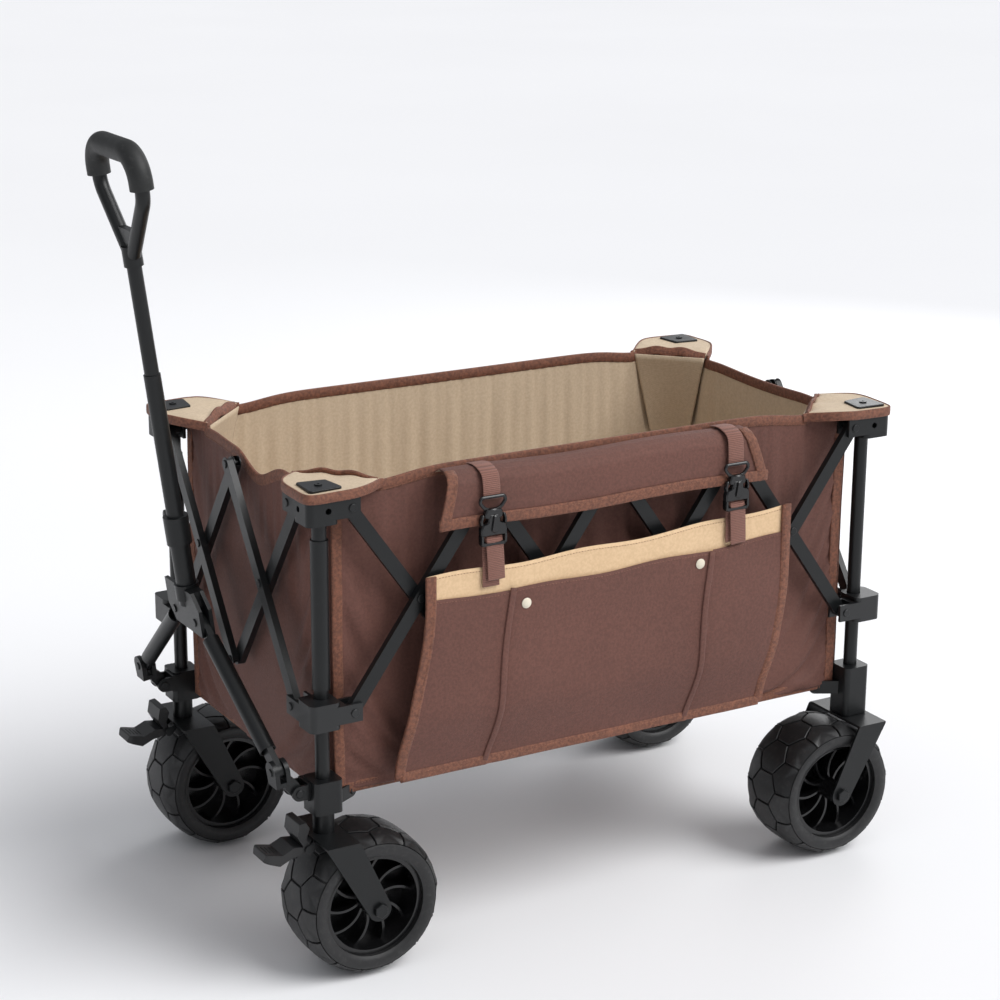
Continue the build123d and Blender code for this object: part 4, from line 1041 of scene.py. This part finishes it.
flap = cloth_shell("bar_flap", flap_surface, np.linspace(0, 1, 110), np.linspace(0, 1, 29), CANVAS, LINING, OUT,
                   thick=1.6 * MM)
flap_pieces = [flap]
drop = np.linspace(0.3, 1, 30)
for tag, u, turn in (("left", 0.0, 6 * MM), ("right", 1.0, -6 * MM)):
    line = [flap_surface(u, v) + Vector((turn, -0.8 * MM, 0)) for v in drop]
    flap_pieces.append(band_along(f"flap_binding_{tag}", line, Vector((1, 0, 0)), 15 * MM, 4.2 * MM, BINDING))
    flap_pieces.append(stitches(f"flap_side_stitches_{tag}",
                                [[p + Vector((turn * 0.5, -2.2 * MM, 0)) for p in line]]))
lower = [flap_surface(u, 1.0) + Vector((0, -0.8 * MM, 5 * MM)) for u in np.linspace(0, 1, 90)]
flap_pieces.append(band_along("flap_hem", lower, UP, 15 * MM, 4.2 * MM, BINDING))
flap_pieces.append(stitches("flap_hem_stitches", [[p + Vector((0, -2.2 * MM, 4 * MM)) for p in lower]]))
for piece in flap_pieces:
    go_with(piece, LEFT)


# ---- straps, buckles and snaps ----


def slab(b, outline, y_back, y_front, bevel, centre):
    """Add a bevelled plate to bmesh b: outline in (x, z) millimetres, standing in the XZ plane."""
    cx, cz = centre
    mid_x = sum(x for x, z in outline) / len(outline)
    mid_z = sum(z for x, z in outline) / len(outline)
    rings = []
    for y, shrink in ((y_back, bevel), (y_back - bevel, 0), (y_front + bevel, 0), (y_front, bevel)):
        ring = []
        for x, z in outline:
            size = math.hypot(x - mid_x, z - mid_z)
            k = max(0.0, 1 - shrink / size)
            ring.append(b.verts.new((cx + (mid_x + (x - mid_x) * k) * MM, y * MM,
                                     cz + (mid_z + (z - mid_z) * k) * MM)))
        rings.append(ring)
    count = len(outline)
    for low, high in zip(rings, rings[1:]):
        for j in range(count):
            b.faces.new((low[j], low[(j + 1) % count], high[(j + 1) % count], high[j]))
    b.faces.new(rings[0][::-1])
    b.faces.new(rings[-1])


def rounded(points, radius, steps=5):
    """Outline with its corners rounded."""
    points = [Vector((x, z)) for x, z in points]
    outline = []
    for i, p in enumerate(points):
        before, after = points[i - 1], points[(i + 1) % len(points)]
        r = min(radius, (before - p).length * 0.48, (after - p).length * 0.48)
        start, end = p + (before - p).normalized() * r, p + (after - p).normalized() * r
        for step in range(steps + 1):
            t = step / steps
            outline.append(tuple((1 - t) ** 2 * start + 2 * t * (1 - t) * p + t * t * end))
    return outline


def mirror(points):
    return points + [(-x, z) for x, z in reversed(points) if abs(x) > 0.01]


def bar_ring(b, centre, path, radius, y):
    """Add a round bar bent along a closed path of (x, z) millimetres."""
    cx, cz = centre
    count, sides = len(path), 10
    rings = []
    for i in range(count):
        (x0, z0), (x1, z1), (x2, z2) = path[i - 1], path[i], path[(i + 1) % count]
        tx, tz = x2 - x0, z2 - z0
        size = math.hypot(tx, tz) or 1
        nx, nz = tz / size, -tx / size
        ring = []
        for k in range(sides):
            c, s = math.cos(2 * math.pi * k / sides), math.sin(2 * math.pi * k / sides)
            ring.append(b.verts.new((cx + (x1 + nx * c * radius) * MM, (y + s * radius) * MM,
                                     cz + (z1 + nz * c * radius) * MM)))
        rings.append(ring)
    for i in range(count):
        low, high = rings[i], rings[(i + 1) % count]
        for k in range(sides):
            b.faces.new((low[k], low[(k + 1) % sides], high[(k + 1) % sides], high[k]))


BUCKLE_SIZE = 1.14  # of the outlines below


def buckle(name, x, z, y):
    """Side release buckle: strap loop, body with open flanks, latch tongue and ladder bar."""
    b = bmesh.new()
    at = (0, 0)
    y0 = 0
    bar_ring(b, at, rounded(mirror([(0, 27), (14.5, 27), (16.5, 22), (10, 13.5), (0, 11)]), 5), 2.1, y0 - 3.5)
    slab(b, rounded(mirror([(0, 14), (9.5, 14), (11.5, 8), (10.5, 3), (0, 3)]), 3), y0, y0 - 8, 1.4, at)
    slab(b, rounded(mirror([(0, 8), (6.5, 8), (8, -2), (14.5, -3.5), (16.5, -8), (16.5, -17), (0, -17)]), 3),
         y0 + 0.5, y0 - 8.6, 1.6, at)
    for side in (-1, 1):
        arm = [(side * px, pz) for px, pz in ((12, 8), (15.5, 7), (17, 0), (16.5, -5), (13.6, -5), (13.8, 0))]
        slab(b, rounded(arm, 2), y0 - 1, y0 - 7, 1.2, at)
        rail = [(side * px, pz) for px, pz in ((16.5, -15), (16.5, -27), (13, -28), (13, -15))]
        slab(b, rounded(rail, 2), y0, y0 - 8, 1.2, at)
    slab(b, rounded(mirror([(0, 7), (1.6, 7), (4.6, -11), (0, -14)]), 1.5), y0 - 6, y0 - 10.6, 1.3, at)
    slab(b, rounded(mirror([(0, -24.5), (15.5, -24.5), (15.5, -28.5), (0, -28.5)]), 1.6), y0, y0 - 7.5, 1.2, at)
    mesh = bpy.data.meshes.new(name)
    bmesh.ops.recalc_face_normals(b, faces=b.faces)
    for vertex in b.verts:
        vertex.co = vertex.co * BUCKLE_SIZE + Vector((x, y, z))
    b.to_mesh(mesh)
    b.free()
    mesh.materials.append(BUCKLE)
    mesh.polygons.foreach_set("use_smooth", [True] * len(mesh.polygons))
    mesh.set_sharp_from_angle(angle=math.radians(35))
    made = bpy.data.objects.new(name, mesh)
    bpy.context.scene.collection.objects.link(made)
    return made


def webbing(name, line, width=25 * MM):
    """Flat strap along points in the YZ plane."""
    return band_along(name, smooth_path(line, 8), Vector((1, 0, 0)), width, 1.5 * MM, WEBBING, puff=0.2)


FLAP_FACE_Y = RIM_Y - 46.5 * MM
strap_pieces = []
for tag, x, buckle_z, end_z, band_z in (("front", MIDDLE_X - 196 * MM, 587 * MM, 507 * MM, 498 * MM),
                                        ("rear", MIDDLE_X + 180 * MM, 578 * MM, 497 * MM, 500 * MM)):
    top = buckle_z + 27 * MM
    y = FLAP_FACE_Y
    upper = [(x, RIM_Y - 3 * MM, 651 * MM), (x, RIM_Y - 22 * MM, 653.5 * MM), (x, y + 4 * MM, 647 * MM),
             (x, y - 1.5 * MM, 632 * MM), (x, y - 2.5 * MM, top + 4 * MM), (x, y - 1.5 * MM, top)]
    low = buckle_z - 26 * MM
    behind = [(x, y - 3 * MM, low), (x, y - 0.5 * MM, low - 14 * MM), (x, y - 1.5 * MM, (low + band_z) / 2),
              (x, y - 1.5 * MM, band_z)]
    hanging = [(x + 1 * MM, y - 6.2 * MM, low + 4 * MM), (x + 2 * MM, y - 7.5 * MM, low - 8 * MM),
               (x + 4 * MM, y - 6.5 * MM, (low + end_z) / 2), (x + 6 * MM, y - 5.6 * MM, end_z)]
    strap_pieces.append(webbing(f"strap_upper_{tag}", upper))
    strap_pieces.append(webbing(f"strap_lower_{tag}", behind))
    strap_pieces.append(webbing(f"strap_end_{tag}", hanging))
    fold = [(x + 1 * MM, y - 6.2 * MM, low + 4 * MM), (x, y - 8.0 * MM, low + 1 * MM), (x, y - 8.4 * MM, low - 2.6 * MM),
            (x, y - 7.0 * MM, low - 7 * MM)]
    strap_pieces.append(webbing(f"strap_fold_{tag}", fold, 21 * MM))
    strap_pieces.append(buckle(f"side_release_buckle_{tag}", x, buckle_z, y - 1.0 * MM))
for piece in strap_pieces:
    go_with(piece, LEFT)


def snap_cap(name, place):
    """Domed press stud with a rolled rim."""
    profile = [(0, 2.6), (2.5, 2.5), (4.6, 2.0), (6.0, 1.2), (6.7, 1.0), (7.1, 0.6), (7.0, 0.0)]
    points, faces = [place + OUT * profile[0][1] * MM], []
    sides = 40
    for r, h in profile[1:]:
        for k in range(sides):
            angle = 2 * math.pi * k / sides
            points.append(place + Vector((r * math.cos(angle), -h, r * math.sin(angle))) * MM)
    for k in range(sides):
        faces.append((0, 1 + k, 1 + (k + 1) % sides))
    for ring in range(len(profile) - 2):
        for k in range(sides):
            a, c = 1 + ring * sides + k, 1 + ring * sides + (k + 1) % sides
            faces.append((a, a + sides, c + sides, c))
    last = 1 + (len(profile) - 2) * sides
    faces.append(tuple(range(last, last + sides)))
    return outward(mesh_object(name, points, faces, [SNAP]))


for tag, x, z in (("front", MIDDLE_X - 144 * MM, 467 * MM), ("rear", MIDDLE_X + 126 * MM, 477 * MM)):
    go_with(snap_cap(f"pocket_snap_{tag}", on_front(x, z) + OUT * 0.4 * MM), LEFT)


# ---- stage, lights and camera ----


def stage_plane():
    """Pale paper floor that reaches past the view."""
    s = Shader("studio_paper")
    s.set(base_color=s.mix(s.noise(s.place(), 0.6, 2.0), (0.83, 0.83, 0.84), (0.87, 0.87, 0.88)), roughness=0.7)
    far = 40
    made = mesh_object("studio_floor", [(-far, -far, -0.001), (far, -far, -0.001), (far, far, -0.001), (-far, far, -0.001)],
                       [(0, 1, 2, 3)], [s.material], smooth=False)


def sun_light(name, place, power, spread):
    """Even studio light from a direction, with soft shadows."""
    light = bpy.data.lights.new(name, "SUN")
    light.energy = power
    light.angle = math.radians(spread)
    made = bpy.data.objects.new(name, light)
    made.rotation_euler = Vector(place).to_track_quat("Z", "Y").to_euler()
    bpy.context.scene.collection.objects.link(made)


def area_light(name, place, aim, size, power, colour=(1, 1, 1)):
    """Soft square light pointing from place to aim."""
    light = bpy.data.lights.new(name, "AREA")
    light.shape = "RECTANGLE"
    light.size, light.size_y = size
    light.energy = power
    light.color = colour
    made = bpy.data.objects.new(name, light)
    made.location = place
    made.rotation_euler = (Vector(aim) - Vector(place)).to_track_quat("-Z", "Y").to_euler()
    bpy.context.scene.collection.objects.link(made)


def camera():
    """The view of the cart, three quarters from its front left."""
    data = bpy.data.cameras.new("view")
    data.lens, data.sensor_width = 88.0, 36.0
    made = bpy.data.objects.new("view", data)
    yaw, pitch, roll = math.radians(-30.315), math.radians(16.742), math.radians(0.372)
    made.location = (MIDDLE_X - 1.6742, -2.812, 1.499)
    ahead = Vector((-math.sin(yaw) * math.cos(pitch), math.cos(yaw) * math.cos(pitch), -math.sin(pitch)))
    turn = ahead.to_track_quat("-Z", "Y").to_matrix()
    right, up = turn.col[0].copy(), turn.col[1].copy()
    turn.col[0] = right * math.cos(roll) + up * math.sin(roll)
    turn.col[1] = up * math.cos(roll) - right * math.sin(roll)
    made.rotation_euler = turn.to_euler()
    bpy.context.scene.collection.objects.link(made)
    bpy.context.scene.camera = made


stage_plane()
world = bpy.data.worlds.new("studio")
world.use_nodes = True
world.node_tree.nodes["Background"].inputs["Color"].default_value = (0.93, 0.95, 1.0, 1)
world.node_tree.nodes["Background"].inputs["Strength"].default_value = 0.42
bpy.context.scene.world = world
sun_light("key", (0.62, -0.72, 0.95), 2.75, 45)
sun_light("fill", (-0.3, -0.5, 1.4), 0.35, 80)
area_light("kicker", (2.6, 2.0, 1.8), (0, 0, 0.5), (1.4, 2.2), 22)
camera()
bpy.context.scene.view_settings.view_transform = "Standard"
